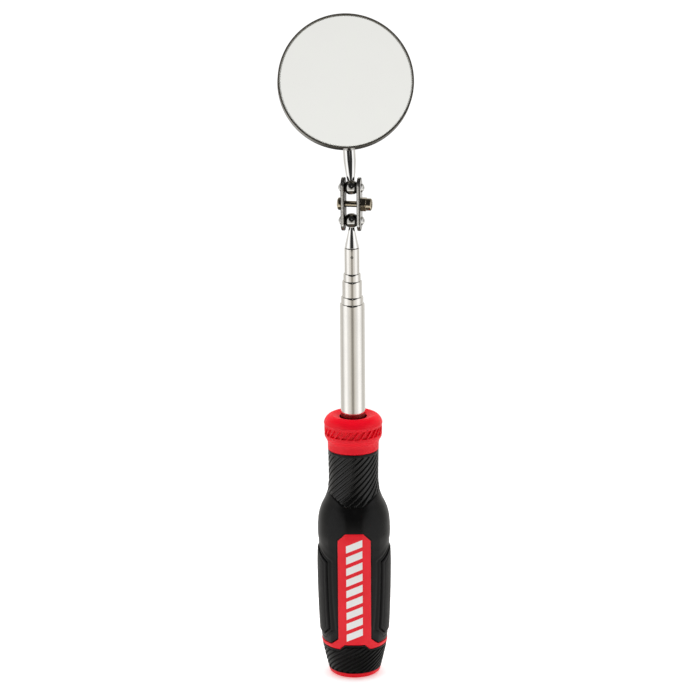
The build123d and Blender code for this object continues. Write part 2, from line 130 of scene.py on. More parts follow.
MARK_T = 0.12

# mast: tube_5, fixed in the handle, first, and tube_1, the thinnest, last
TUBE_R = [5.3, 4.765, 4.23, 3.695, 3.16]
TUBE_TOP = [167.5, 170.6, 177.5, 180.7, 191.7]
TUBE_LENGTH = [149.5, 143.0, 143.0, 143.0, 150.0]
WALL = 0.3
RUNNING = 0.03
NECK_H = 2.4
NECK_BAND = 0.9
SHADE_RING_TOP = 119.0        # top of the painted shade ring, dark reddish brown, on the fixed tube at the collar
SHOULDER_W = 0.42        # rolled shoulder of a tube
SHOULDER_H = 0.85
BEAD = 0.17
BEAD_H = 0.6
SPRING_H = 9.0
SPRING_PLAY = 0.1
STUD_SPIGOT_H = 7.0
STUD_PIN_Z = 188.3
STUD_PIN_R = 0.5
CONE_BASE_R = 3.1
CONE_GROOVE_R = 2.75     # groove between the tube and the taper
CONE_GROOVE_H = 0.3
CONE_NECK_R = 1.15

# double-ball link
LINK_YAW = -9.5
BALL_R = 3.175
LOWER_BALL_Z = 203.7
UPPER_BALL_Z = 218.05
SCREW_Z = (LOWER_BALL_Z + UPPER_BALL_Z) / 2
PLATE_W = 7.0
PLATE_END = 4.4
PLATE_CORNER_R = 3.45
PLATE_ROUND = 0.42       # rounding of a plate's edges: its width and its drop
PLATE_DROP = 0.38
PLATE_T = 1.55
PLATE_GAP = 5.3
PLATE_FACE = PLATE_GAP / 2 + PLATE_T
SEAT_DOME_R = 2.22
SEAT_TOP = 5.6
SEAT_POCKET_R = 1.65
SEAT_FILLET = 0.3
SCREW_R = 1.48
SCREW_HOLE_R = 1.62
SHANK_R = 1.3            # plain shank between the plates
PITCH = 0.5
THREAD_DEPTH = 0.22
RECESS_HALF_L = 1.45     # arms of the cross recess
RECESS_HALF_W = 0.33
RECESS_DEPTH = 1.15
HEAD_R = 2.7
HEAD_H = 1.8
NUT_AF = 5.5
NUT_HEX_H = 2.3
NUT_COLLAR_R = 2.6
NUT_COLLAR_H = 2.2
NUT_TURN = 28.0          # degrees a flat is turned from the front
RECESS_TURN = 22.0       # and the screw's cross recess

# mirror head
HEAD_TILT = -21.0
HEAD_LEAN = -3.2
HEAD_TURN = 3.4
STEM_R = 2.62
STEM_NECK_R = 1.5
STEM_SPIGOT_R = 1.2
STEM_TOP = 52.0
MIRROR_Z = 44.2
BEZEL_R = 28.785         # a hair inside the CAD's 28.8, so that nothing reaches past its box
BEZEL_DEPTH = 6.0
BEZEL_T = 0.55
BEZEL_BACK_Y = -2.75
BEZEL_BACK_R = 0.5
BEZEL_RIM_R = 0.3
GLASS_R = 28.18
GLASS_EDGE = 0.6         # glass below the cup's rim at its edge
GLASS_FACE = 0.28        # and at its face, inside the ground bevel
BEVEL_R = 27.6           # inner edge of the ground bevel
GLASS_T = 3.2
LIP_R = 28.2
SADDLE_W = 13.0
SADDLE_H = 24.0
SADDLE_T = 0.8
RIVET_R = 1.05
RIVET_HEAD_R = 2.1
RIVET_HEAD_H = 1.1
RIVET_X = 9.2
RIVET_Z = 8.0


# ---- numbers and curves
def smoothstep(low, high, value):
    """0 below low, 1 above high, with a soft start and end."""
    t = np.clip((value - low) / (high - low), 0, 1)
    return t * t * (3 - 2 * t)


def curve_through(points):
    """Smooth function of height through (height, radius) points, without overshoot."""
    at, value = np.array(points, float).T
    step = np.diff(at)
    slope = np.diff(value) / step
    below = slope[:-1]
    above = slope[1:]
    steady = below * above > 0
    bend = np.where(steady, 2 * below * above / np.where(steady, below + above, 1), 0)
    tangent = np.concatenate([slope[:1], bend, slope[-1:]])

    def follow(z):
        z = np.clip(z, at[0], at[-1])
        i = np.clip(np.searchsorted(at, z) - 1, 0, len(at) - 2)
        h = step[i]
        t = (z - at[i]) / h
        return (
            value[i] * (1 + 2 * t) * (1 - t) ** 2
            + tangent[i] * h * t * (1 - t) ** 2
            + value[i + 1] * t * t * (3 - 2 * t)
            + tangent[i + 1] * h * t * t * (t - 1)
        )

    return follow


def distance_to_outline(x, y, outline):
    """Distance from points to a closed outline, negative inside it."""
    best = np.full(np.shape(x), 1e9)
    inside = np.zeros(np.shape(x), bool)
    for (ax, ay), (bx, by) in zip(outline, outline[1:] + outline[:1]):
        ex = bx - ax
        ey = by - ay
        t = np.clip(((x - ax) * ex + (y - ay) * ey) / (ex * ex + ey * ey), 0, 1)
        best = np.minimum(best, np.hypot(x - ax - t * ex, y - ay - t * ey))
        if ey:
            crosses = (ay > y) != (by > y)
            inside ^= crosses & (x < ax + (y - ay) * ex / ey)
    return np.where(inside, -best, best)


def both_sides(right_half):
    """Closed outline from its right half, listed from the bottom up."""
    return right_half + [(-x, z) for x, z in reversed(right_half)]


def rounded(corners, fillet, steps=4):
    """Closed outline with its corners rounded. A corner's third number is its own fillet."""
    out = []
    for i, corner in enumerate(corners):
        here = np.array(corner[:2], float)
        a = np.array(corners[i - 1][:2]) - here
        b = np.array(corners[i + 1 - len(corners)][:2]) - here
        size = corner[2] if len(corner) > 2 else fillet
        length_a = np.linalg.norm(a)
        length_b = np.linalg.norm(b)
        a = a / length_a
        b = b / length_b
        half = math.acos(np.clip(a @ b, -1, 1)) / 2
        if abs(here[0]) < 1e-6 or size <= 0 or half > math.radians(86):
            out.append(tuple(here))
            continue
        cut = min(size / math.tan(half), 0.46 * length_a, 0.46 * length_b)
        radius = cut * math.tan(half)
        middle = a + b
        centre = here + middle / np.linalg.norm(middle) * radius / math.sin(half)
        for k in range(steps + 1):
            chord = here + a * cut * (1 - k / steps) + b * cut * k / steps - centre
            out.append(tuple(centre + chord / np.linalg.norm(chord) * radius))
    return out


def arc(centre, radius, start, end, steps):
    """Points of an arc by its angles in degrees from the first axis."""
    turn = np.radians(np.linspace(start, end, steps + 1))
    return [(centre[0] + radius * math.cos(t), centre[1] + radius * math.sin(t)) for t in turn]


def rounded_edge(distance, width, drop):
    """How far a surface drops near its outline, so that its edge is round."""
    t = np.clip(1 - distance / width, 0, 1)
    return drop * (1 - np.sqrt(1 - t * t))


def line_at(distance, place, width):
    """A soft pressed line at a distance from an outline, 1 in its middle."""
    return np.exp(-(((distance - place) / width) ** 2))


def full_turn(count):
    """Angles of evenly spaced points all round."""
    return np.linspace(0, 2 * math.pi, count, endpoint=False)


# ---- meshes
def turn_about(axis, degrees):
    """Rotation matrix."""
    return Matrix.Rotation(math.radians(degrees), 4, axis)


def moved(x, y, z):
    """Translation matrix from millimetres."""
    return Matrix.Translation(Vector((x, y, z)) * MM)


HEAD = (
    moved(0, 0, UPPER_BALL_Z) @ turn_about("Y", HEAD_LEAN)
    @ turn_about("X", HEAD_TILT) @ turn_about("Z", HEAD_TURN)
)
FACING = HEAD @ moved(0, BEZEL_BACK_Y, MIRROR_Z) @ turn_about("X", 90)
ACROSS = moved(0, 0, SCREW_Z) @ turn_about("Z", LINK_YAW) @ turn_about("Y", 90)
ACROSS_LEFT = moved(0, 0, SCREW_Z) @ turn_about("Z", LINK_YAW + 180) @ turn_about("Y", 90)
UPRIGHT = Matrix.Identity(4)
CREASE = 38


def smooth(data, crease):
    """Smooth shading, sharp past the crease angle."""
    data.polygons.foreach_set("use_smooth", [True] * len(data.polygons))
    data.set_sharp_from_angle(angle=math.radians(crease))


def new_piece(name, parts, material, place=UPRIGHT, crease=CREASE):
    """Smooth mesh object from (vertices in millimetres, faces) parts, sharp past the crease."""
    mesh = bmesh.new()
    for vertices, faces in parts:
        made = [mesh.verts.new(place @ (Vector(v) * MM)) for v in vertices]
        for face in faces:
            mesh.faces.new([made[i] for i in face])
    bmesh.ops.recalc_face_normals(mesh, faces=mesh.faces)
    data = bpy.data.meshes.new(name)
    mesh.to_mesh(data)
    mesh.free()
    smooth(data, crease)
    data.materials.append(material)
    piece = bpy.data.objects.new(name, data)
    bpy.context.scene.collection.objects.link(piece)
    return piece


def paint(piece, material, where):
    """Give the faces whose centres (in millimetres) pass the test another material."""
    piece.data.materials.append(material)
    for face in piece.data.polygons:
        if where(face.center / MM):
            face.material_index = len(piece.data.materials) - 1


def shown(piece, body, slot=None, node=None):
    """Puts a finished piece on its body and, if it is given a slot, hides the CAD node that it stands in for.
    """
    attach(piece, body)
    if slot:
        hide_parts(node)


def lathe(profile, segments=96):
    """Closed profile of (radius, height) turned about Z; a point on the axis is a pole."""
    vertices = []
    rings = []
    for radius, height in profile:
        angles = [0.0] if radius < 1e-6 else full_turn(segments)
        rings.append([len(vertices) + j for j in range(len(angles))])
        vertices += [(radius * math.sin(t), -radius * math.cos(t), height) for t in angles]
    faces = []
    for a, b in zip(rings, rings[1:] + rings[:1]):
        for j in range(segments if len(a) + len(b) > 2 else 0):
            k = (j + 1) % segments
            corners = (a[j % len(a)], a[k % len(a)], b[k % len(b)], b[j % len(b)])
            faces.append(tuple(dict.fromkeys(corners)))
    return vertices, faces


def polar(theta, z, radius):
    """Points round the Z axis, counted from the front."""
    theta, z, radius = np.broadcast_arrays(theta, z, radius)
    return np.stack([radius * np.sin(theta), -radius * np.cos(theta), z], -1).reshape(-1, 3)


def numbered(grid, first=0):
    """Point numbers in the shape of a grid."""
    return first + np.arange(grid.size).reshape(grid.shape)


def grid_faces(index, wrap=True):
    """Quads of a grid of point numbers, its columns closed into a ring if it wraps."""
    after = np.roll(index, -1, axis=1) if wrap else index[:, 1:]
    here = index if wrap else index[:, :-1]
    quads = np.stack([here[:-1], after[:-1], after[1:], here[1:]], -1)
    return [tuple(quad) for quad in quads.reshape(-1, 4).tolist()]


def ring_faces(index):
    """Quads of a grid closed both ways, like a tyre."""
    return grid_faces(np.concatenate([index, index[:1]]))


def closed_faces(faces, count):
    """Faces of a skin and of its copy, count points on, joined all round."""
    directed = {(a, b) for face in faces for a, b in zip(face, face[1:] + face[:1])}
    closed = list(faces) + [tuple(count + v for v in reversed(face)) for face in faces]
    return closed + [(b, a, count + a, count + b) for a, b in directed if (b, a) not in directed]


def prism(low, high):
    """Solid between two matching outlines of points."""
    count = len(low)
    faces = [tuple(range(count)), tuple(range(2 * count - 1, count - 1, -1))]
    faces += [(j, (j + 1) % count, count + (j + 1) % count, count + j) for j in range(count)]
    return low + high, faces


def thickened(points, faces, depth):
    """A skin given thickness towards the mast's axis, closed all round."""
    inward = points.copy()
    inward[:, 2] = 0
    inward /= np.linalg.norm(inward, axis=1)[:, None]
    return np.concatenate([points, points - inward * depth]), closed_faces(faces, len(points))


def cut_away(piece, cutter):
    """Cuts one mesh out of another and throws the cutter away."""
    boolean = piece.modifiers.new("cut", "BOOLEAN")
    boolean.object = cutter
    boolean.operation = "DIFFERENCE"
    boolean.solver = "EXACT"
    bpy.context.view_layer.update()
    result = bpy.data.meshes.new_from_object(piece.evaluated_get(bpy.context.evaluated_depsgraph_get()))
    piece.modifiers.remove(boolean)
    piece.data = result
    smooth(result, CREASE)
    bpy.data.objects.remove(cutter)


# ---- the grip's outer form
grip_radius = curve_through(GRIP_OUTLINE)
PAD_LOW = [(PAD_HALF_W - PAD_FOOT_CUT, PAD_FOOT), (PAD_HALF_W, PAD_FOOT + PAD_FOOT_CUT)]
PAD_HIGH = [(PAD_TOP_HALF_W, PAD_TOP), (PAD_HALF_W, PAD_TOP - PAD_TOP_CUT)]
PAD_OUTLINE = both_sides(PAD_LOW + PAD_HIGH[::-1])
BAND_LOW = [
    (PANEL_TOP_HALF_W + 0.4, BAND_FRONT_Z), (PANEL_HALF_W - 0.5, BAND_DIP_Z), (BAND_REACH, BAND_SIDE_Z),
]
BAND_HIGH = [
    (PANEL_HALF_W, BAND_FRONT_Z + BAND_FRONT_H), (PANEL_HALF_W + BAND_DIP_OUT, BAND_DIP_Z + BAND_DIP_H),
    (BAND_REACH, BAND_SIDE_Z + BAND_H),
]
PANEL_CORNERS = [(PANEL_HALF_W, PANEL_TOP - PANEL_CHAMFER_H), (PANEL_TOP_HALF_W, PANEL_TOP)]
RED_OUTLINE = both_sides(BAND_LOW + BAND_HIGH[::-1] + PANEL_CORNERS)


def step_along(corners, x):
    """Height of a broken line at a distance from the centre line."""
    return np.interp(np.abs(x), [c[0] for c in corners], [c[1] for c in corners])


def grip_form(theta, z):
    """Radius of the grip: round, with three shallow facets at the front and at the back."""
    turn = np.abs((theta + math.pi / 2) % math.pi - math.pi / 2)
    edge = math.radians(FACET_EDGE)
    half_side = math.radians(FACET_SIDE - FACET_EDGE) / 2
    front = math.cos(edge) / np.cos(np.minimum(turn, 1.2))
    side = math.cos(half_side) / np.cos(np.minimum(np.abs(turn - edge - half_side), 1.2))
    sharp = np.exp(-FACET_CRISP * front) + np.exp(-FACET_CRISP * side) + np.exp(-FACET_CRISP)
    facet = -np.log(sharp) / FACET_CRISP
    strength = smoothstep(*FACETS_FROM, z) * (1 - smoothstep(*FACETS_TO, z))
    return grip_radius(z) * (1 - strength * np.clip(1 - facet - 0.5 / FACET_CRISP, 0, 1))


def slanted_ribs(theta, z, count, slope, radius):
    """0 on a rib and 1 in the groove beside it; the two are about as wide."""
    phase = (count * (theta - z / (radius * slope)) / (2 * math.pi)) % 1
    return 1 - smoothstep(0.11, 0.31, np.abs(phase - 0.5))


def rib_foot(x):
    """Height at which the neck's ribs start, by the distance from the front's middle."""
    return np.interp(np.abs(x), [RIB_FRONT_X, RIB_SIDE_X], [RIB_LOW_FRONT, RIB_LOW_SIDE])


def sleeve_radius(theta, z):
    """Outer surface of the black sleeve, with its ribs, seams and pressed lines."""
    radius = grip_form(theta, z)
    x = radius * np.sin(theta)
    y = radius * np.cos(theta)
    to_red = distance_to_outline(x, z, RED_OUTLINE)
    to_pad = distance_to_outline(y, z, PAD_OUTLINE)
    for distance in (to_red, to_pad):
        radius = radius - SUNK * (1 - smoothstep(-0.5, 0.02, distance))
        radius = radius - SEAM_DEPTH * line_at(distance, 0.12, 0.22)
    radius = radius - PAD_LINE_DEPTH * line_at(to_pad, PAD_LINE, 0.34) - 0.13 * line_at(to_pad, 2.9, 1.5)
    low = rib_foot(x)
    zone = smoothstep(0.0, 0.16, z - low) * (1 - smoothstep(RIB_TOP - 0.5, RIB_TOP, z))
    groove = slanted_ribs(theta, z, NECK_RIBS, NECK_SLOPE, NECK_R)
    edge = line_at(z, low - 0.12, 0.26)
    return radius - NECK_RIB_DEPTH * zone * groove - NECK_EDGE_DEPTH * edge * (1 - zone * 0.5)


def make_sleeve(material, ribbed):
    """Black sleeve from the band to the collar, with closer rows where its ribs are."""
    theta = full_turn(GRIP_STEPS)
    low = step_along(BAND_HIGH, grip_radius(16) * np.sin(theta)) + SEAM
    rows = np.concatenate([np.linspace(0, 58, 190), np.linspace(58, 83.4, 141)[1:]])
    z = low + (GRIP_TOP - low) * (rows / rows[-1])[:, None]
    radius = sleeve_radius(theta, z)
    radius = radius - rounded_edge(GRIP_TOP - z, 0.35, 0.25) - rounded_edge(z - low, 0.35, 0.3)
    part = thickened(polar(theta, z, radius), grid_faces(numbered(z)), SLEEVE_T)
    sleeve = new_piece("sleeve_moulding", [part], material)
    paint(sleeve, ribbed, lambda spot: rib_foot(spot.x) < spot.z < RIB_TOP)
    return sleeve


def make_tail(material):
    """Black ribbed tail between the end cap and the band."""
    theta = full_turn(GRIP_STEPS)
    high = step_along(BAND_LOW, grip_radius(14) * np.sin(theta)) - SEAM
    z = CAP_H + (high - CAP_H) * np.linspace(0, 1, 120)[:, None]
    below = high - z
    groove = slanted_ribs(theta, z, TAIL_RIBS, TAIL_SLOPE, TAIL_R)
    zone = smoothstep(TAIL_EDGE, TAIL_EDGE + 0.2, below) * smoothstep(CAP_H + 0.35, CAP_H + 0.6, z)
    radius = grip_form(theta, z) - TAIL_RIB_DEPTH * zone * groove
    radius = radius - 0.25 * line_at(below, TAIL_EDGE, 0.2)
    radius = radius - rounded_edge(below, 0.35, 0.3) - rounded_edge(z - CAP_H, 0.3, 0.2)
    part = thickened(polar(theta, z, radius), grid_faces(numbered(z)), SLEEVE_T)
    return new_piece("tail_moulding", [part], material)


def eased(count):
    """-1 to 1, closer together towards both ends."""
    t = np.linspace(-1, 1, count)
    return 0.5 * t + 0.5 * np.sin(math.pi / 2 * t)


def theta_at(x, z):
    """Angle at which the grip's surface is a distance to the right of its centre line."""
    theta = np.arcsin(x / grip_radius(z))
    for _ in range(6):
        theta = np.arcsin(x / grip_form(theta, z))
    return theta


def make_core(material):
    """Red core: both panels and the zigzag band in one skin, and the body under the sleeve."""
    seam_z = BAND_HIGH[0][1]
    across = PANEL_HALF_W * eased(57)
    edge = float(theta_at(np.array(PANEL_HALF_W), np.array(seam_z)))
    side = np.linspace(edge, math.pi - edge, 150)[1:-1]
    up_band = ((1 + eased(17)) / 2)[:, None]
    up_panel = ((1 + eased(190)) / 2)[1:, None]
    halves = ((across, theta_at, 0.0), (across[::-1], lambda x, z: math.pi - theta_at(x, z), math.pi))

    band = []
    for x, angle_at, turned in halves:
        low = step_along(BAND_LOW, x)
        z = low + (seam_z - low) * up_band
        band.append((angle_at(x, z), z))
        reach = grip_radius(15.0) * np.sin(side + turned)
        low = step_along(BAND_LOW, reach)
        z = low + (step_along(BAND_HIGH, reach) - low) * up_band
        band.append((np.broadcast_to(side + turned, z.shape), z))
    theta, z = (np.concatenate(blocks, 1) for blocks in zip(*band))
    grid = numbered(z)
    faces = grid_faces(grid)
    thetas = [theta.ravel()]
    heights = [z.ravel()]
    for x, angle_at, turned in halves:
        z = seam_z + (step_along(PANEL_CORNERS[::-1], x) - seam_z) * up_panel
        first = len(across) + len(side) if turned else 0
        own = numbered(z, sum(len(t) for t in thetas))
        faces += grid_faces(np.concatenate([grid[-1:, first:first + len(across)], own]), wrap=False)
        thetas.append(angle_at(x, z).ravel())
        heights.append(z.ravel())
    theta = np.concatenate(thetas)
    z = np.concatenate(heights)
    radius = grip_form(theta, z)
    inside = -distance_to_outline(radius * np.sin(theta), z, RED_OUTLINE)
    radius = radius + PANEL_PROUD - rounded_edge(inside, 0.45, 0.36)
    skin = thickened(polar(theta, z, radius), faces, SKIN)

    bore = TUBE_R[0] + 0.02
    profile = [(float(grip_radius(h)) - SKIN - 0.05, float(h)) for h in np.linspace(CAP_H, GRIP_TOP, 60)]
    profile += [(NOSE_R, GRIP_TOP), (NOSE_R, NOSE_TOP), (bore, NOSE_TOP), (bore, CAVITY_TOP)]
    profile += [(CAVITY_R, CAVITY_TOP), (CAVITY_R, CAP_H)]
    return new_piece("core_moulding", [skin, lathe(profile)], material)


def make_marks(material):
    """Plain slanted bars printed on the front panel."""
    parts = []
    x = MARK_HALF_W * np.linspace(-1, 1, 15)
    u = np.linspace(-1, 1, 9)[:, None]
    edge = np.minimum(MARK_HALF_W - np.abs(x), MARK_HALF_H * (1 - np.abs(u)))
    for middle in np.linspace(MARK_LOW, MARK_HIGH, MARKS):
        z = middle + MARK_SLANT * x + MARK_HALF_H * u
        theta = theta_at(x, z)
        radius = grip_form(theta, z) + PANEL_PROUD + 0.045 - rounded_edge(edge, 0.12, 0.03)
        parts.append(thickened(polar(theta, z, radius), grid_faces(numbered(z), wrap=False), MARK_T))
    return new_piece("panel_bars", parts, material)


def make_pad(side, name, material):
    """Raised side pad; side is 1 on the right and -1 on the left."""
    y = PAD_HALF_W * eased(61)
    low = step_along(PAD_LOW, y)
    z = low + (step_along(PAD_HIGH, y) - low) * ((1 + eased(150)) / 2)[:, None]
    theta = math.pi / 2 + np.arcsin(y / grip_form(math.pi / 2 + np.arcsin(y / PAD_SEAT_R), z))
    inside = -distance_to_outline(np.broadcast_to(y, z.shape), z, PAD_OUTLINE)
    radius = grip_form(theta, z) + PAD_PROUD - rounded_edge(inside, 0.6, 0.55)
    radius = radius - 0.12 * line_at(inside, 1.5, 0.22)
    skin = thickened(polar(theta * side, z, radius), grid_faces(numbered(z), wrap=False), PAD_T)
    return new_piece(name, [skin], material)


def make_end_cap(material):
    """Butt plug with its red rim."""
    spigot = CAVITY_R - 0.02
    profile = [
        (0, 0), (BUTT_R, 0, 0.5), (BUTT_R + 0.85, 0.72, 0.6), (11.5, CAP_H, 0.12), (spigot, CAP_H),
        (spigot, CAP_SPIGOT_TOP, 0.3), (spigot - 1.6, CAP_SPIGOT_TOP, 0.3), (spigot - 1.6, CAP_H), (0, CAP_H),
    ]
    dish = [(0, 0.25), (7.6, 0.25), (8.0, 0)]
    return new_piece("butt_plug", [lathe(dish + rounded(profile, 0.1)[1:], 160)], material)


def make_collar(material, shaded):
    """Finger ring with a belt of slanted slots, its neck ring and its dished top, with painted shade round
    its hole.
    """
    side = curve_through([
        (GRIP_TOP, COLLAR_NECK_R), (104.8, 11.02), (106.6, 11.3), (107.6, 11.85), (108.5, 12.3),
        (109.2, 12.42), (113.9, COLLAR_R), (114.4, 12.66), (115.3, 12.42), (116.4, 11.8), (117.4, 10.75),
        (HANDLE_TOP, 9.5),
    ])
    z = np.concatenate([
        np.linspace(GRIP_TOP, 109.3, 34), np.linspace(109.3, 113.8, 36)[1:],
        np.linspace(113.8, HANDLE_TOP, 26)[1:],
    ])
    theta = full_turn(SLOTS * 24)
    height = z[:, None]
    lean = (height - SLOT_LOW) * SLOTS / (2 * math.pi * COLLAR_R) * SLOT_LEAN
    phase = (SLOTS * theta / (2 * math.pi) - lean) % 1
    along = np.minimum(height - SLOT_LOW, SLOT_HIGH - height)
    slot = smoothstep(-0.02, 0.16, along) * smoothstep(0.15, 0.22, phase)
    slot = slot * (1 - smoothstep(0.86, 0.93, phase))
    radius = side(height) - SLOT_DEPTH * slot - rounded_edge(height - z[0], 0.3, 0.25)
    rest = rounded([
        (9.5, HANDLE_TOP), (8.7, HANDLE_TOP - 0.05, 0.3), (COLLAR_HOLE_R, HANDLE_TOP - COLLAR_DISH, 0.15),
        (COLLAR_HOLE_R, NOSE_TOP), (NOSE_R + 0.02, NOSE_TOP), (NOSE_R + 0.02, GRIP_TOP),
        (COLLAR_NECK_R, GRIP_TOP),
    ], 0.05)[1:-1]
    points = np.concatenate([polar(theta, height, radius)] + [polar(theta, h, r) for r, h in rest])
    faces = ring_faces(np.arange(len(points)).reshape(-1, len(theta)))
    ring = new_piece("finger_ring", [(points, faces)], material)
    # painted shade: the dish and the bore round the hole are a dark red
    paint(ring, shaded, lambda spot: math.hypot(spot.x, spot.y) < COLLAR_HOLE_R + BORE_SHADE)
    return ring


# ---- mast
def make_tube(index, material, mouth_shade):
    """One mast tube: rolled in at its top, with two keeper beads at the foot of a sliding one; the fixed one
    has a painted shade ring at the collar.
    """
    outer = TUBE_R[index]
    inner = outer - WALL
    top = TUBE_TOP[index]
    low = top - TUBE_LENGTH[index]
    profile = [(inner, low, 0.05), (outer, low, 0.05)]
    if index == 0:
        profile += [(outer, HANDLE_TOP, 0), (outer, SHADE_RING_TOP, 0)]
    else:
        for bead in (low, low + BEAD_H + SPRING_PLAY + SPRING_H):
            profile += [
                (outer, bead + 0.02, 0), (outer + BEAD, bead + 0.15, 0.1),
                (outer + BEAD, bead + BEAD_H - 0.1, 0.1), (outer, bead + BEAD_H + 0.05, 0),
            ]
    if index == len(TUBE_R) - 1:
        profile += [(outer, top, 0.12), (inner, top, 0.08)]
    else:
        neck = TUBE_R[index + 1] + RUNNING
        lean = np.radians(np.arange(0, 91, 10))
        profile += zip(outer - SHOULDER_W * (1 - np.cos(lean)), top - SHOULDER_H * (1 - np.sin(lean)))
        profile += [(neck, top, 0.02), (neck, top - NECK_BAND, 0.1), (inner, top - NECK_H, 0.1)]
    tube = new_piece(f"mast_section_{len(TUBE_R) - index}", [lathe(rounded(profile, 0.05), 128)], material)
    # the fixed tube gets a painted shade ring, dark reddish brown, below the collar's mouth
    if index == 0:
        paint(tube, mouth_shade, lambda spot: spot.z < SHADE_RING_TOP)
    if index == len(TUBE_R) - 1:
        drill = [(0, -8), (STUD_PIN_R + 0.16, -8), (STUD_PIN_R + 0.16, 8), (0, 8)]
        place = moved(0, 0, STUD_PIN_Z) @ turn_about("X", 90)
        cut_away(tube, new_piece("drill", [lathe(drill, 32)], material, place))
    return tube


def make_ball_stud(material, taper, groove):
    """Spigot, taper and lower ball, turned in one piece."""
    top = TUBE_TOP[-1]
    spigot = TUBE_R[-1] - WALL - 0.02
    neck_z = LOWER_BALL_Z - math.sqrt(BALL_R ** 2 - CONE_NECK_R ** 2)
    start = math.degrees(math.asin((neck_z - LOWER_BALL_Z) / BALL_R))
    profile = rounded([
        (0, top - STUD_SPIGOT_H), (spigot, top - STUD_SPIGOT_H, 0.4), (spigot, top), (CONE_GROOVE_R, top),
        (CONE_GROOVE_R, top + CONE_GROOVE_H), (CONE_BASE_R, top + CONE_GROOVE_H, 0.12),
        (CONE_NECK_R, neck_z, 0), (0, neck_z + 1),
    ], 0.05)[:-1]
    ball = [(r, LOWER_BALL_Z + h) for r, h in arc((0, 0), BALL_R, start, 90, 36)]
    ball[-1] = (0.0, LOWER_BALL_Z + BALL_R)
    stud = new_piece("ball_stud_turned", [lathe(profile + ball[1:], 96)], material, crease=30)
    paint(stud, taper, lambda spot: top + CONE_GROOVE_H < spot.z < neck_z)
    # painted shade: the groove between the tube and the taper is near-black
    paint(stud, groove, lambda spot: top < spot.z < top + CONE_GROOVE_H)
    return stud


# ---- link
def rounded_bar(half_length, half_width, corner, steps=10):
    """Outline of a rectangle with round corners."""
    points = []
    for x, y, start in ((1, 1, 0), (-1, 1, 90), (-1, -1, 180), (1, -1, 270)):
        centre = (x * (half_length - corner), y * (half_width - corner))
        points += arc(centre, corner, start, start + 90, steps)
    return points


def make_plate(name, place, material, dark):
    """Pressed link plate, domed outwards over each ball and pocketed inside; its rims and inner faces are
    painted dark as shade.
    """
    spacing = (UPPER_BALL_Z - LOWER_BALL_Z) / 2
    half_length = spacing + PLATE_END
    seats = [(-spacing, 0.0), (spacing, 0.0)]
    dome_z = SEAT_TOP - SEAT_DOME_R
    rise = PLATE_FACE + SEAT_FILLET - dome_z
    foot = math.sqrt((SEAT_DOME_R + SEAT_FILLET) ** 2 - rise ** 2)
    meet = foot * SEAT_DOME_R / (SEAT_DOME_R + SEAT_FILLET)

    def outer_face(d):
        ball = dome_z + np.sqrt(np.maximum(SEAT_DOME_R ** 2 - d ** 2, 0))
        fillet = PLATE_FACE + SEAT_FILLET - np.sqrt(np.maximum(SEAT_FILLET ** 2 - (foot - d) ** 2, 0))
        return np.where(d < meet, ball, np.where(d < foot, fillet, PLATE_FACE))

    def inner_face(d):
        seat = np.sqrt(np.maximum((BALL_R + RUNNING) ** 2 - d ** 2, 0))
        pocket = dome_z - 0.1 + np.sqrt(np.maximum(SEAT_POCKET_R ** 2 - d ** 2, 0))
        return np.where(d < SEAT_POCKET_R, np.maximum(seat, pocket), np.maximum(seat, PLATE_GAP / 2))

    insets = (0.0, 0.05, 0.14, PLATE_ROUND)
    loops = [rounded_bar(half_length - o, PLATE_W / 2 - o, PLATE_CORNER_R - o) for o in insets]
    points = []
    edges = []
    for loop in loops + [arc((0, 0), SCREW_HOLE_R, 0, 360, 32)[:-1]]:
        edges += [(len(points) + i, len(points) + (i + 1) % len(loop)) for i in range(len(loop))]
        points += loop
    radii = [SEAT_DOME_R * math.sin(math.radians(a)) for a in range(9, 64, 9)]
    radii += [meet, (meet + 2 * foot) / 3, foot - 0.06, foot, 1.8]
    for seat in seats:
        points.append(seat)
        for radius in sorted(radii):
            points += arc(seat, radius, 0, 360, 40)[:-1]
    made = delaunay_2d_cdt([Vector(p) for p in points], edges, [], 1, 1e-5)
    flat = np.array([tuple(v) for v in made[0]])
    faces = [tuple(f) for f in made[2] if np.hypot(*flat[list(f)].mean(0)) > SCREW_HOLE_R - 0.02]
    d = np.min([np.hypot(flat[:, 0] - x, flat[:, 1] - y) for x, y in seats], 0)
    corner_x = np.maximum(np.abs(flat[:, 0]) - half_length + PLATE_CORNER_R, 0)
    corner_y = np.maximum(np.abs(flat[:, 1]) - PLATE_W / 2 + PLATE_CORNER_R, 0)
    edge = PLATE_CORNER_R - np.hypot(corner_x, corner_y)
    drop = rounded_edge(np.maximum(edge, 0), PLATE_ROUND, PLATE_DROP)
    top = np.column_stack([flat, outer_face(d) - drop])
    low = np.column_stack([flat, inner_face(d) + drop * 0.7])
    part = (np.concatenate([top, low]), closed_faces(faces, len(flat)))
    piece = new_piece(name, [part], material, place, crease=44)
    # the rims and all the inner faces are painted near-black as shade
    piece.data.materials.append(dark)
    for number, face in enumerate(faces):
        on_rim = all(edge[v] < PLATE_ROUND + 0.01 for v in face)
        piece.data.polygons[number].material_index = int(on_rim)
        piece.data.polygons[len(faces) + number].material_index = 1
    return piece


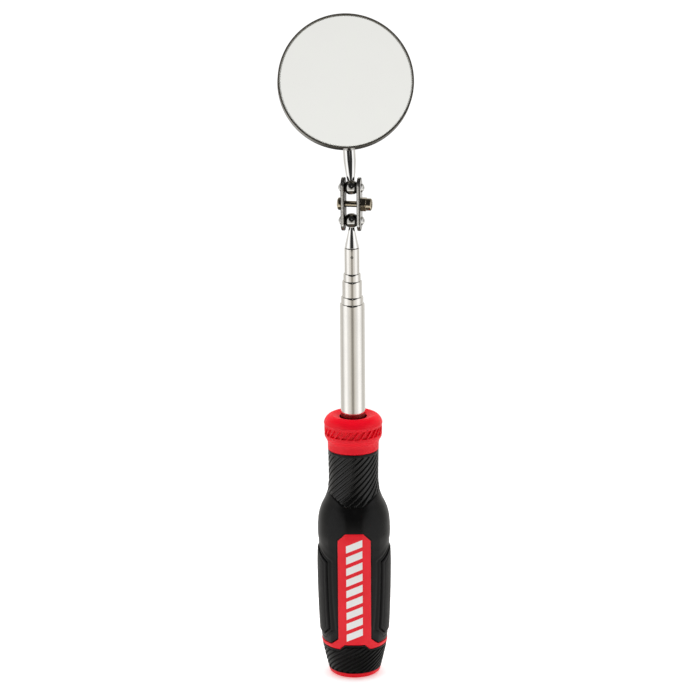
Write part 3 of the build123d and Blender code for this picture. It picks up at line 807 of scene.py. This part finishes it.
def make_screw(material):
    """Pan-head screw with a cross recess, a plain shank between the plates and a threaded end."""
    seat = -PLATE_FACE
    crown = seat - HEAD_H
    tip = PLATE_FACE + NUT_HEX_H + NUT_COLLAR_H - 0.2
    head = rounded([
        (0, seat), (HEAD_R, seat, 0.12), (HEAD_R, crown + 0.45, 0.9), (1.9, crown, 0.6), (0, crown),
    ], 0.1, steps=7)
    piece = new_piece("clamp_screw_pan", [lathe(head, 64)], material, ACROSS)
    signs = ((-1, -1), (1, -1), (1, 1), (-1, 1))
    blade = rounded([(RECESS_HALF_L * a, RECESS_HALF_W * b) for a, b in signs], 0.12)
    low = [(x * 0.72, y * 0.7, crown + RECESS_DEPTH) for x, y in blade]
    high = [(x, y, crown - 0.2) for x, y in blade]
    for quarter in (0, 90):
        place = ACROSS @ turn_about("Z", quarter + RECESS_TURN)
        cut_away(piece, new_piece("blade", [prism(low, high)], material, place))

    turn = full_turn(48)
    along = np.arange(seat - 0.3, tip, PITCH / 8)[:, None]
    phase = (along / PITCH - turn / (2 * math.pi)) % 1
    thread = THREAD_DEPTH * smoothstep(0.05, 0.5, np.abs(phase - 0.5) * 2)
    depth = np.where(along < PLATE_GAP / 2 + 0.4, SCREW_R - SHANK_R, thread)
    radius = SCREW_R - depth - smoothstep(tip - 0.4, tip, along) * 0.3
    index = numbered(radius)
    faces = grid_faces(index) + [tuple(index[0][::-1].tolist()), tuple(index[-1].tolist())]
    shank = new_piece("thread", [(polar(turn, along, radius), faces)], material, ACROSS, crease=60)
    joined = bmesh.new()
    for mesh in (piece.data, shank.data):
        joined.from_mesh(mesh)
    joined.to_mesh(piece.data)
    joined.free()
    bpy.data.objects.remove(shank)
    return piece


def make_nut(material):
    """Self-locking nut: chamfered hexagon and the rolled collar round its nylon ring."""
    low = PLATE_FACE
    hex_top = low + NUT_HEX_H
    high = hex_top + NUT_COLLAR_H
    corner = NUT_AF / math.sqrt(3)
    turn = full_turn(144)
    off = (turn + math.pi / 6) % (math.pi / 3) - math.pi / 6
    flat = NUT_AF / 2 / np.cos(off) - 0.05 * np.exp(-((np.abs(off) - math.pi / 6) / 0.05) ** 2)
    profile = [
        (corner - 0.42, low), (corner - 0.2, low + 0.12), (corner, low + 0.34), (corner, hex_top - 0.34),
        (corner - 0.2, hex_top - 0.12), (corner - 0.5, hex_top),
    ] + rounded([
        (NUT_COLLAR_R - 0.02, hex_top, 0), (NUT_COLLAR_R, hex_top + 0.1, 0.05),
        (NUT_COLLAR_R, high - 0.3, 0.5), (NUT_COLLAR_R - 0.5, high, 0.3), (1.78, high - 0.05, 0.1),
        (1.9, high - 0.3, 0.05), (1.9, hex_top - 0.1, 0), (SCREW_R + 0.02, hex_top - 0.1, 0),
        (SCREW_R + 0.02, low, 0),
    ], 0.1)
    radius = np.array([np.minimum(flat, r) for r, _ in profile])
    height = np.array([h for _, h in profile])[:, None]
    part = (polar(turn, height, radius), ring_faces(numbered(radius)))
    return new_piece("lock_nut", [part], material, ACROSS @ turn_about("Z", NUT_TURN), crease=28)


# ---- mirror head
def make_upper_ball(material):
    """Ball bored for the stem's spigot."""
    bore = STEM_SPIGOT_R + RUNNING
    top = math.degrees(math.asin(2.75 / BALL_R))
    low = math.degrees(math.asin(-2.78 / BALL_R))
    ball = arc((0, 0), BALL_R, low, top, 40)
    inside = [(bore, 2.75), (bore, -1.6), (BALL_R * math.cos(math.radians(low)) - 0.1, -2.8)]
    return new_piece("ball_bored", [lathe(ball + inside)], material, HEAD, crease=30)


def make_stem(material):
    """Stem behind the mirror: shank, taper, neck and peened spigot."""
    profile = rounded([
        (0, -2.6), (1.9, -2.6, 0.1), (1.9, -2.35, 0.05), (STEM_SPIGOT_R, -1.65, 0.05),
        (STEM_SPIGOT_R, 2.76, 0), (STEM_NECK_R, 2.76, 0.1), (2.1, 6.2, 6.0), (STEM_R, 11.3, 8.0),
        (STEM_R, STEM_TOP, 0.6), (0, STEM_TOP),
    ], 0.1, steps=8)
    return new_piece("stem_turned", [lathe(profile)], material, HEAD)


def make_bezel(material):
    """Spun cup with a rolled rim that laps the glass."""
    inner = BEZEL_R - BEZEL_T
    glass_edge = BEZEL_DEPTH - GLASS_EDGE
    profile = rounded([
        (0, 0), (BEZEL_R, 0, BEZEL_BACK_R), (BEZEL_R, BEZEL_DEPTH, BEZEL_RIM_R),
        (LIP_R + 0.02, BEZEL_DEPTH - 0.04, 0.2), (LIP_R + 0.02, glass_edge, 0.02), (inner, glass_edge, 0.02),
        (inner, BEZEL_T, 0.1), (0, BEZEL_T),
    ], 0.1, steps=8)
    return new_piece("mirror_cup", [lathe(profile, 256)], material, FACING)


def make_glass(material, bevel):
    """Mirror glass with a narrow ground bevel; the ring just inside the bevel keeps its face flat."""
    edge = BEZEL_DEPTH - GLASS_EDGE
    face = BEZEL_DEPTH - GLASS_FACE
    low = edge - GLASS_T
    profile = rounded([
        (0, low), (GLASS_R, low, 0.1), (GLASS_R, edge, 0.03), (BEVEL_R, face, 0.03),
        (BEVEL_R - 0.1, face, 0), (0, face),
    ], 0.05)
    glass = new_piece("mirror_glass_plate", [lathe(profile, 256)], material, FACING, crease=8)
    middle = FACING.translation / MM
    facing = FACING.to_3x3() @ Vector((0, 0, 1))
    paint(glass, bevel, lambda spot: (spot - middle).cross(facing).length > BEVEL_R)
    return glass


def make_saddle(material):
    """Hat-shaped strap over the stem, flat on the back of the cup on both sides."""
    web = BEZEL_BACK_Y + 0.01
    inner = STEM_R + 0.02
    outer = inner + SADDLE_T
    flange = web + SADDLE_T
    half = rounded([
        (SADDLE_W, web, 0), (SADDLE_W, flange, 0), (outer + 0.02, flange, 0.7), (outer, 0, 0),
    ], 0.1, steps=6)
    crown = arc((0, 0), outer, 0, 180, 28)
    left = [(-x, y) for x, y in reversed(half)]
    hollow = [(-inner, web)] + arc((0, 0), inner, 180, 0, 28) + [(inner, web)]
    outline = half + crown[1:-1] + left + hollow
    ends = [[(x, y, MIRROR_Z + z) for x, y in outline] for z in (-SADDLE_H / 2, SADDLE_H / 2)]
    strap = new_piece("stem_strap", [prism(*ends)], material, HEAD)
    bevel = strap.modifiers.new("edges", "BEVEL")
    bevel.width = 0.16 * MM
    bevel.segments = 3
    bevel.limit_method = "ANGLE"
    bevel.angle_limit = math.radians(40)
    return strap


def make_rivets(material):
    """Four round-headed rivets."""
    head = BEZEL_BACK_Y + 0.02 + SADDLE_T
    shank = BEZEL_BACK_Y - BEZEL_T - 0.01
    radius = (RIVET_HEAD_R ** 2 + RIVET_HEAD_H ** 2) / (2 * RIVET_HEAD_H)
    centre = head + RIVET_HEAD_H - radius
    start = math.degrees(math.asin((head - centre) / radius))
    dome = arc((0, centre), radius, start, 90, 12)
    dome[-1] = (0.0, head + RIVET_HEAD_H)
    profile = [(0, shank - 0.38), (1.8, shank - 0.38), (1.8, shank), (RIVET_R, shank), (RIVET_R, head)]
    vertices, faces = lathe(profile + dome, 40)
    parts = []
    for x in (-RIVET_X, RIVET_X):
        for z in (-RIVET_Z, RIVET_Z):
            parts.append(([(x + u, w, MIRROR_Z + z + v) for u, v, w in vertices], faces))
    return new_piece("strap_rivets", parts, material, HEAD)


# ---- materials and the nodes they are made of
class Nodes:
    """Short calls for wiring up a node tree."""

    def __init__(self, tree):
        self.tree = tree

    def feed(self, socket, value):
        """Puts a link, a number or a colour of three numbers into a socket."""
        if isinstance(value, bpy.types.NodeSocket):
            self.tree.links.new(value, socket)
        elif socket.type == "RGBA":
            socket.default_value = (*value, 1)
        else:
            socket.default_value = value

    def add(self, kind, inputs, **settings):
        """New node; its settings are made first, because some decide which inputs it has."""
        node = self.tree.nodes.new("ShaderNode" + kind)
        for name, value in settings.items():
            setattr(node, name, value)
        for name, value in inputs.items():
            self.feed(node.inputs[name], value)
        return node

    def math(self, operation, a, b=0.0):
        return self.add("Math", {0: a, 1: b}, operation=operation).outputs[0]

    def between(self, source, low, high, to_low=0.0, to_high=1.0, how="LINEAR"):
        """A value's range stretched to another, held at its ends."""
        inputs = {"Value": source, "From Min": low, "From Max": high, "To Min": to_low, "To Max": to_high}
        return self.add("MapRange", inputs, interpolation_type=how).outputs["Result"]

    def blend(self, how, factor, a, b):
        """Two colours combined."""
        inputs = {"Factor": factor, "A": a, "B": b}
        return self.add("Mix", inputs, data_type="RGBA", blend_type=how).outputs["Result"]

    def ramp(self, source, stops):
        """Colour looked up in (position from 0 to 1, colour) stops."""
        node = self.add("ValToRGB", {0: source})
        elements = node.color_ramp.elements
        while len(elements) < len(stops):
            elements.new(0.5)
        for element, (position, colour) in zip(elements, stops):
            element.position = position
            element.color = (*colour, 1)
        return node.outputs[0]


class Surface(Nodes):
    """A procedural material being wired up round one Principled shader."""

    def __init__(self, name, metallic=0.0):
        self.material = bpy.data.materials.new(name)
        self.material.use_nodes = True
        super().__init__(self.material.node_tree)
        self.shader = self.tree.nodes["Principled BSDF"]
        self.place = self.add("TexCoord", {}).outputs["Object"]
        self.normal = None
        self.set({"Metallic": metallic})

    def set(self, values):
        """Feeds the shader's own sockets."""
        for socket, value in values.items():
            self.feed(self.shader.inputs[socket], value)

    def glow(self, weight):
        """Light scattered under the skin of red plastic."""
        self.set({
            "Subsurface Weight": weight, "Subsurface Radius": (0.0016, 0.0005, 0.0004),
            "Subsurface Scale": 1.0,
        })

    def stretched(self, scale, turn=(0, 0, 0)):
        """Object coordinates, turned and then scaled by features per metre along each axis."""
        turned = self.add("Mapping", {"Rotation": turn, "Vector": self.place}).outputs[0]
        return self.add("Mapping", {"Scale": scale, "Vector": turned}).outputs[0]

    def noise(self, scale, detail=3.0, roughness=0.55, vector=None):
        """Noise from 0 to 1; scale is features per metre unless a vector is given."""
        inputs = {"Scale": scale, "Detail": detail, "Roughness": roughness, "Vector": vector or self.place}
        return self.add("TexNoise", inputs).outputs["Fac"]

    def cells(self, scale):
        """Distance to the nearest of many scattered points."""
        return self.add("TexVoronoi", {"Scale": scale, "Vector": self.place}).outputs["Distance"]

    def share(self, factor, value):
        return self.math("MULTIPLY", factor, value)

    def mixed(self, factor, a, b):
        return self.blend("MIX", factor, a, b)

    def drift(self, scale, low, high, a, b):
        """Slow change between two colours."""
        return self.mixed(self.between(self.noise(scale), low, high), a, b)

    def bump(self, height, depth, strength):
        """Adds relief of a depth in millimetres."""
        inputs = {"Strength": strength, "Distance": depth * MM, "Height": height}
        if self.normal:
            inputs["Normal"] = self.normal
        self.normal = self.add("Bump", inputs).outputs[0]

    def done(self, colour, roughness):
        """Connects colour, roughness and relief; the first two may be the same all over."""
        self.set({"Base Color": colour, "Roughness": roughness})
        if self.normal:
            self.set({"Normal": self.normal})
        return self.material


def shade(colour, factor):
    """A colour made lighter or darker."""
    return tuple(min(1.0, c * factor) for c in colour)


def metal(name, colour, roughness, grain, depth, spread, wear=0.0, turn=(0, 0, 0), mottle=0.0):
    """Metal drawn or polished along an axis, with hairlines, a slow stain and handling marks."""
    s = Surface(name, 1.0)
    hair = s.noise(1.0, 4.0, 0.6, s.stretched(grain, turn))
    marks = s.between(s.noise(420.0, 6.0, 0.7), 0.52, 0.72)
    rough = s.between(hair, 0.3, 0.7, roughness * (1 - spread), roughness * (1 + spread))
    rough = s.math("ADD", rough, s.share(marks, 0.05 + wear))
    tint = s.drift(70.0, 0.35, 0.65, shade(colour, 0.955), shade(colour, 1.03))
    tint = s.mixed(s.share(marks, 0.12 + wear), tint, shade(colour, 0.72))
    if mottle:
        blotch = s.between(s.noise(1300.0, 3.0, 0.7), 0.4, 0.62)
        tint = s.mixed(s.share(blotch, mottle), tint, shade(colour, 0.35))
    if depth:
        s.bump(hair, depth, 0.6)
    return s.done(tint, rough)


def moulded(name, colour, roughness, grain, depth, specular, tone=0.08, glow=0.0):
    """Moulded plastic or rubber: spark-eroded grain, slow colour drift and rubbed-smooth spots."""
    s = Surface(name)
    fine = s.noise(grain, 5.0, 0.62)
    rubbed = s.between(s.noise(140.0, 5.0, 0.7), 0.5, 0.75)
    s.bump(s.math("ADD", fine, s.share(s.cells(grain * 0.8), 0.5)), depth, 0.75)
    tint = s.drift(55.0, 0.3, 0.7, shade(colour, 1 - tone), shade(colour, 1 + tone))
    tint = s.mixed(s.share(rubbed, 0.22), tint, shade(colour, 1.35))
    smooth = s.math("ADD", fine, s.share(rubbed, -0.35))
    s.set({"Specular IOR Level": specular})
    if glow:
        s.glow(glow)
    return s.done(tint, s.between(smooth, 0.1, 0.7, roughness - 0.07, roughness + 0.07))


def panel_red():
    """Satin red of the core, with a fine slanted tool texture on it."""
    s = Surface("core_red")
    lines = s.add("TexWave", {
        "Scale": 310.0, "Distortion": 0.35, "Vector": s.stretched((1, 1, 1), (0.0, 0.3, 0.0)),
    }, wave_type="BANDS", bands_direction="Z")
    fine = s.noise(2600.0, 4.0, 0.6)
    s.bump(lines.outputs["Fac"], 0.018, 0.5)
    s.bump(fine, 0.012, 0.7)
    s.set({"Specular IOR Level": 0.22})
    s.glow(0.12)
    tint = s.drift(60.0, 0.3, 0.7, (0.76, 0.006, 0.016), (0.86, 0.012, 0.026))
    return s.done(tint, s.between(fine, 0.3, 0.7, 0.36, 0.5))


def mirror_silver():
    """Second-surface mirror: silver under clear glass, with faint wiping marks."""
    s = Surface("mirror_silver", 1.0)
    wipe = s.noise(1.0, 3.0, 0.5, s.stretched((260, 30, 40), (0.0, 0.0, 0.6)))
    haze = s.between(s.noise(38.0, 4.0), 0.45, 0.8)
    rough = s.math("ADD", s.share(haze, 0.02), s.between(wipe, 0.35, 0.75, 0.006, 0.022))
    s.set({"Coat Weight": 1.0, "Coat Roughness": 0.008})
    return s.done(s.mixed(s.share(haze, 0.5), (0.93, 0.945, 0.92), (0.9, 0.91, 0.885)), rough)


def flecked(name, metallic, fine, relief, sparse, amount, colour, fleck, rough):
    """Fine even texture with sparse flecks of another colour."""
    s = Surface(name, metallic)
    grain = s.noise(*fine)
    flecks = s.between(s.noise(900.0, 5.0, 0.7), *sparse)
    s.bump(grain, *relief)
    return s.done(s.mixed(s.share(flecks, amount), colour, fleck), s.between(grain, 0.3, 0.7, *rough))


def foam():
    """Closed-cell foam."""
    s = Surface("foam_black")
    cells = s.cells(2400.0)
    s.bump(cells, 0.12, 0.9)
    return s.done(s.mixed(s.between(cells, 0.1, 0.6), (0.012, 0.012, 0.012), (0.05, 0.05, 0.053)), 0.9)


def even(value):
    """A grey, or the same scale along every axis."""
    return (value,) * 3


HEAD_TURNED = tuple(HEAD.inverted().to_euler())
STEEL = metal("drawn_stainless", (0.74, 0.72, 0.685), 0.12, (2600, 2600, 26), 0.0006, 0.4)
CHROME = metal("stem_chrome", (0.77, 0.765, 0.75), 0.06, (700, 700, 60), 0.0, 0.5, turn=HEAD_TURNED)
RIM = metal("cup_chrome", (0.17, 0.16, 0.135), 0.07, even(500), 0.0, 0.4)
STUD_CHROME = metal("taper_chrome", (0.8, 0.795, 0.78), 0.08, (700, 700, 60), 0.0, 0.5)
BALL = metal("ball_steel", (0.42, 0.415, 0.4), 0.045, even(600), 0.0, 0.5)
PLATE = metal("tumbled_plate", (0.62, 0.615, 0.6), 0.24, even(1500), 0.006, 0.45, 0.12, mottle=0.5)
# painted shade: near-black for the plates' rims and inner faces and the stud's groove
PLATE_SHADE = metal("plate_painted_shade", (0.045, 0.042, 0.038), 0.34, even(1500), 0.004, 0.4, 0.1)
ZINC = metal("screw_zinc", (0.42, 0.37, 0.28), 0.14, even(1100), 0.003, 0.45, 0.12)
# painted shade: dark reddish brown ring on the fixed tube at the collar
TUBE_MOUTH_SHADE = metal("steel_painted_shade", (0.2, 0.14, 0.12), 0.3, (1500, 1500, 60), 0.001, 0.4, 0.1)
BRONZE = metal("spring_bronze", (0.72, 0.5, 0.27), 0.3, (1400, 1400, 60), 0.002, 0.4, 0.1)
RUBBER = moulded("sleeve_rubber", even(0.0035), 0.3, 1500.0, 0.014, 0.15)
RIBBED = moulded("ribbed_rubber", even(0.003), 0.2, 1500.0, 0.004, 0.34)
PAD = moulded("pad_rubber", (0.004, 0.004, 0.0045), 0.42, 1100.0, 0.035, 0.12)
NYLON = moulded("plug_nylon", (0.82, 0.8, 0.72), 0.45, 1300.0, 0.02, 0.5)
BEVEL = flecked(
    "bevel_silver", 0.6, (2600.0, 4.0, 0.7), (0.002, 0.5), (0.62, 0.75), 0.4,
    (0.86, 0.87, 0.84), (0.6, 0.58, 0.52), (0.25, 0.36),
)
PRINT = flecked(
    "pad_print", 0.0, (3000.0, 4.0), (0.008, 0.6), (0.6, 0.8), 0.25,
    (0.83, 0.83, 0.815), (0.8, 0.5, 0.49), (0.34, 0.5),
)
COLLAR = moulded("collar_red", (0.82, 0.003, 0.016), 0.42, 1700.0, 0.012, 0.2, 0.05, 0.1)
# painted shade: dark red round the collar's hole
COLLAR_HOLE_SHADE = moulded("collar_hole_painted_shade", (0.12, 0.002, 0.005), 0.5, 1700.0, 0.02, 0.2, 0.1)

# ---- the object
shown(make_core(panel_red()), "handle", "red_plastic", "handle_core")
shown(make_marks(PRINT), "handle")
shown(make_sleeve(RUBBER, RIBBED), "handle", "black_rubber", "grip_sleeve")
shown(make_tail(RUBBER), "handle", "black_rubber", "tail_grip")
for side, name in ((1, "right"), (-1, "left")):
    shown(make_pad(side, f"pad_{name}", PAD), "handle", "pad_rubber", f"side_pad_{name}")
shown(make_end_cap(COLLAR), "handle", "red_plastic", "end_cap")
shown(make_collar(COLLAR, COLLAR_HOLE_SHADE), "handle", "collar_red", "nose_collar")
for number in range(5, 0, -1):
    body = "handle" if number == 5 else f"section_{number}"
    shown(make_tube(5 - number, STEEL, TUBE_MOUTH_SHADE), body, "stainless", f"tube_{number}")
shown(make_ball_stud(BALL, STUD_CHROME, PLATE_SHADE), "section_1", "stainless", "ball_stud")
for name, place in (("right", ACROSS), ("left", ACROSS_LEFT)):
    plate = make_plate(f"link_plate_{name}_pressed", place, PLATE, PLATE_SHADE)
    shown(plate, "link", "plate_steel", f"link_plate_{name}")
shown(make_screw(ZINC), "link", "screw_steel", "clamp_screw")
shown(make_nut(ZINC), "link", "screw_steel", "clamp_nut")
shown(make_upper_ball(BALL), "upper_ball", "stainless", "upper_ball")
shown(make_stem(CHROME), "head", "stem_chrome", "mirror_stem")
shown(make_bezel(RIM), "head", "bezel_chrome", "mirror_bezel")
shown(make_glass(mirror_silver(), BEVEL), "head", "mirror", "mirror_glass")
shown(make_saddle(PLATE), "head", "plate_steel", "stem_saddle")
shown(make_rivets(ZINC), "head", "screw_steel", "saddle_rivets")

# small and hidden pieces keep their CAD shape and only get a material
CARRIED = {f"friction_spring_{number}": BRONZE for number in range(1, 5)}
CARRIED.update(mast_pin=STEEL, stud_pin=BALL, mast_plug=NYLON, nut_insert=NYLON, mirror_cushion=foam())
for node, material in CARRIED.items():
    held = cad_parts[node]
    held.data.materials.clear()
    held.data.materials.append(material)

# ---- floor
FLOOR_R = 330.0
FLOOR_T = 2.0
FLOOR_DROP = 0.3
FLOOR_GLOW = 0.4
FLOOR_FADE = (0.45, 0.97)    # shares of its radius between which it fades out


def make_floor():
    """Pale floor that fades out towards its edge."""
    s = Surface("floor_white")
    s.set({"Specular IOR Level": 0.0, "Emission Color": (1, 1, 1), "Emission Strength": FLOOR_GLOW})
    reach = s.add("VectorMath", {0: s.place}, operation="LENGTH").outputs["Value"]
    fade = s.between(reach, *(FLOOR_R * share * MM for share in FLOOR_FADE))
    clear = s.add("BsdfTransparent", {}).outputs[0]
    blend = s.add("MixShader", {0: fade, 1: s.shader.outputs[0], 2: clear})
    s.feed(s.tree.nodes["Material Output"].inputs["Surface"], blend.outputs[0])
    material = s.done(s.mixed(s.noise(9.0), even(0.89), even(0.91)), 0.9)
    profile = [(0, -FLOOR_T), (FLOOR_R, -FLOOR_T), (FLOOR_R, 0), (0, 0)]
    return new_piece("floor", [lathe(profile)], material, moved(0, 0, -FLOOR_DROP))


floor = make_floor()
floor.visible_glossy = False

# ---- light
# the room by angle from the front, the same on the left and on the right: brightness and warmth
AROUND = [
    (0, 0.33, 0.16), (8, 0.42, 0.16), (17, 0.78, 0.1), (28, 0.92, 0.07), (42, 1.0, 0.02), (58, 1.36, 0.0),
    (76, 1.34, 0.0), (92, 0.92, 0.02), (108, 0.66, 0.08), (128, 0.82, 0.06), (158, 0.9, 0.05),
    (167, 0.7, 0.06), (173, 0.15, 0.1), (180, 0.05, 0.1),
]
# share of that left by elevation
HEIGHTS = [
    (-90, 0.05, 0), (-60, 0.05, 0), (-45, 0.25, 0), (-32, 0.8, 0), (-24, 1.0, 0), (18, 1.0, 0),
    (30, 0.9, 0), (36, 0.3, 0), (44, 0.08, 0), (90, 0.05, 0),
]
# by elevation: the narrow pale card above the front, the lit ground and the wall behind
CARD = [
    (-90, 0.0, 0), (24, 0.0, 0.03), (26, 0.92, 0.03), (29, 0.91, 0.03), (32.5, 0.86, 0.03),
    (35.5, 0.8, 0.03), (37, 0.7, 0.03), (39, 0.0, 0), (90, 0.0, 0),
]
GROUND_LIGHT = [
    (-90, 0.08, 0.3), (-66, 0.16, 0.3), (-54, 0.08, 0.25), (-44, 0.5, 0.12), (-37, 1.9, 0.05),
    (-26, 1.9, 0.05), (-19, 0.0, 0.05), (90, 0.0, 0),
]
BACK_WALL = [(-90, 0.0, 0), (-4, 0.0, 0.1), (4, 0.8, 0.1), (40, 0.8, 0.1), (50, 0.0, 0.1), (90, 0.0, 0)]
# each is unlit at its first angle round the room and full at the second
CARD_FROM = (0.5, 2.5)
CARD_TO = (10, 8)
GROUND_TO = (150, 100)
WALL_FROM = (148, 168)
# dark shape in front, in the place of the onlooker: elevation of its lower edge by angle from the front
FRONT_EDGE = [(0, -8), (14, -5), (28, 2), (39, 10), (53, 20), (64, 40), (76, 90), (180, 90)]
FRONT_BLUR = 0.014           # half the width of that edge, as a share of 180 degrees
FRONT_DARK = 0.035
BACKDROP = 1.1


def make_room():
    """Room with bright side walls, with the card, the ground and the back wall laid over them."""
    world = bpy.data.worlds.new("room")
    bpy.context.scene.world = world
    world.use_nodes = True
    room = Nodes(world.node_tree)
    direction = room.add("TexCoord", {}).outputs["Generated"]
    x, y, z = room.add("SeparateXYZ", {0: direction}).outputs
    side = room.math("ARCTAN2", x, room.math("MULTIPLY", y, -1.0))
    turn = room.math("ABSOLUTE", side)
    around = room.math("DIVIDE", turn, math.pi)
    rise = room.math("ADD", room.math("DIVIDE", room.math("ARCSINE", z), math.pi), 0.5)

    def lookup(source, lowest, stops):
        """Light by angle in degrees, from (angle, brightness, warmth) stops."""
        brightest = max(stop[1] for stop in stops)
        colours = []
        for angle, value, warmth in stops:
            value /= brightest
            colour = (value, value * (1 - warmth * 0.35), value * (1 - warmth))
            colours.append(((angle - lowest) / 180, colour))
        return room.blend("MULTIPLY", 1.0, room.ramp(source, colours), even(brightest))

    def fade(source, low, high):
        """0 before one angle in degrees and 1 past the other, softly."""
        return room.between(source, math.radians(low), math.radians(high), how="SMOOTHSTEP")

    edge = room.ramp(around, [(a / 180, even((e + 90) / 180)) for a, e in FRONT_EDGE])
    above = room.between(room.math("SUBTRACT", rise, edge), -FRONT_BLUR, FRONT_BLUR, how="SMOOTHSTEP")
    walls = room.blend("MULTIPLY", 1.0, lookup(around, 0, AROUND), lookup(rise, -90, HEIGHTS))
    lit = room.blend("MIX", above, walls, even(FRONT_DARK))
    card = room.math("MULTIPLY", fade(side, *CARD_FROM), fade(side, *CARD_TO))
    ground = fade(turn, *GROUND_TO)
    behind = fade(turn, *WALL_FROM)
    for share, stops in ((card, CARD), (ground, GROUND_LIGHT), (behind, BACK_WALL)):
        lit = room.blend("LIGHTEN", share, lit, lookup(rise, -90, stops))
    seen = room.blend("MIX", room.add("LightPath", {}).outputs["Is Camera Ray"], lit, even(BACKDROP))
    room.feed(room.tree.nodes["Background"].inputs["Color"], seen)


def softbox(name, place, target, size, watts, glossy):
    """Rectangular area light that faces a point; it may be left out of reflections."""
    data = bpy.data.lights.new(name, "AREA")
    data.shape = "RECTANGLE"
    data.size, data.size_y = size
    data.energy = watts
    lamp = bpy.data.objects.new(name, data)
    bpy.context.scene.collection.objects.link(lamp)
    lamp.location = place
    lamp.rotation_euler = (Vector(target) - Vector(place)).to_track_quat("-Z", "Y").to_euler()
    lamp.visible_glossy = glossy


make_room()
softbox("top_light", (0.0, 0.15, 1.5), (0, 0.05, 0), (1.3, 1.3), 30, False)

# ---- camera
VIEW_DISTANCE = 1340.0
VIEW_ELEVATION = 16.0
AIM_X = -1.115
AIM_Z = 146.6
VIEW_ROLL = -0.45
LENS = 160.7

camera_data = bpy.data.cameras.new("camera")
camera_data.lens = LENS
camera_data.sensor_width = 36
camera_data.clip_start = 0.05
camera_data.clip_end = 20
camera = bpy.data.objects.new("camera", camera_data)
bpy.context.scene.collection.objects.link(camera)
elevation = math.radians(VIEW_ELEVATION)
back = Vector((0, -math.cos(elevation), math.sin(elevation)))
camera.matrix_world = (
    moved(AIM_X, 0, AIM_Z) @ Matrix.Translation(back * VIEW_DISTANCE * MM)
    @ turn_about("X", 90 - VIEW_ELEVATION) @ turn_about("Z", VIEW_ROLL)
)
bpy.context.scene.camera = camera
bpy.context.scene.view_settings.view_transform = "Standard"
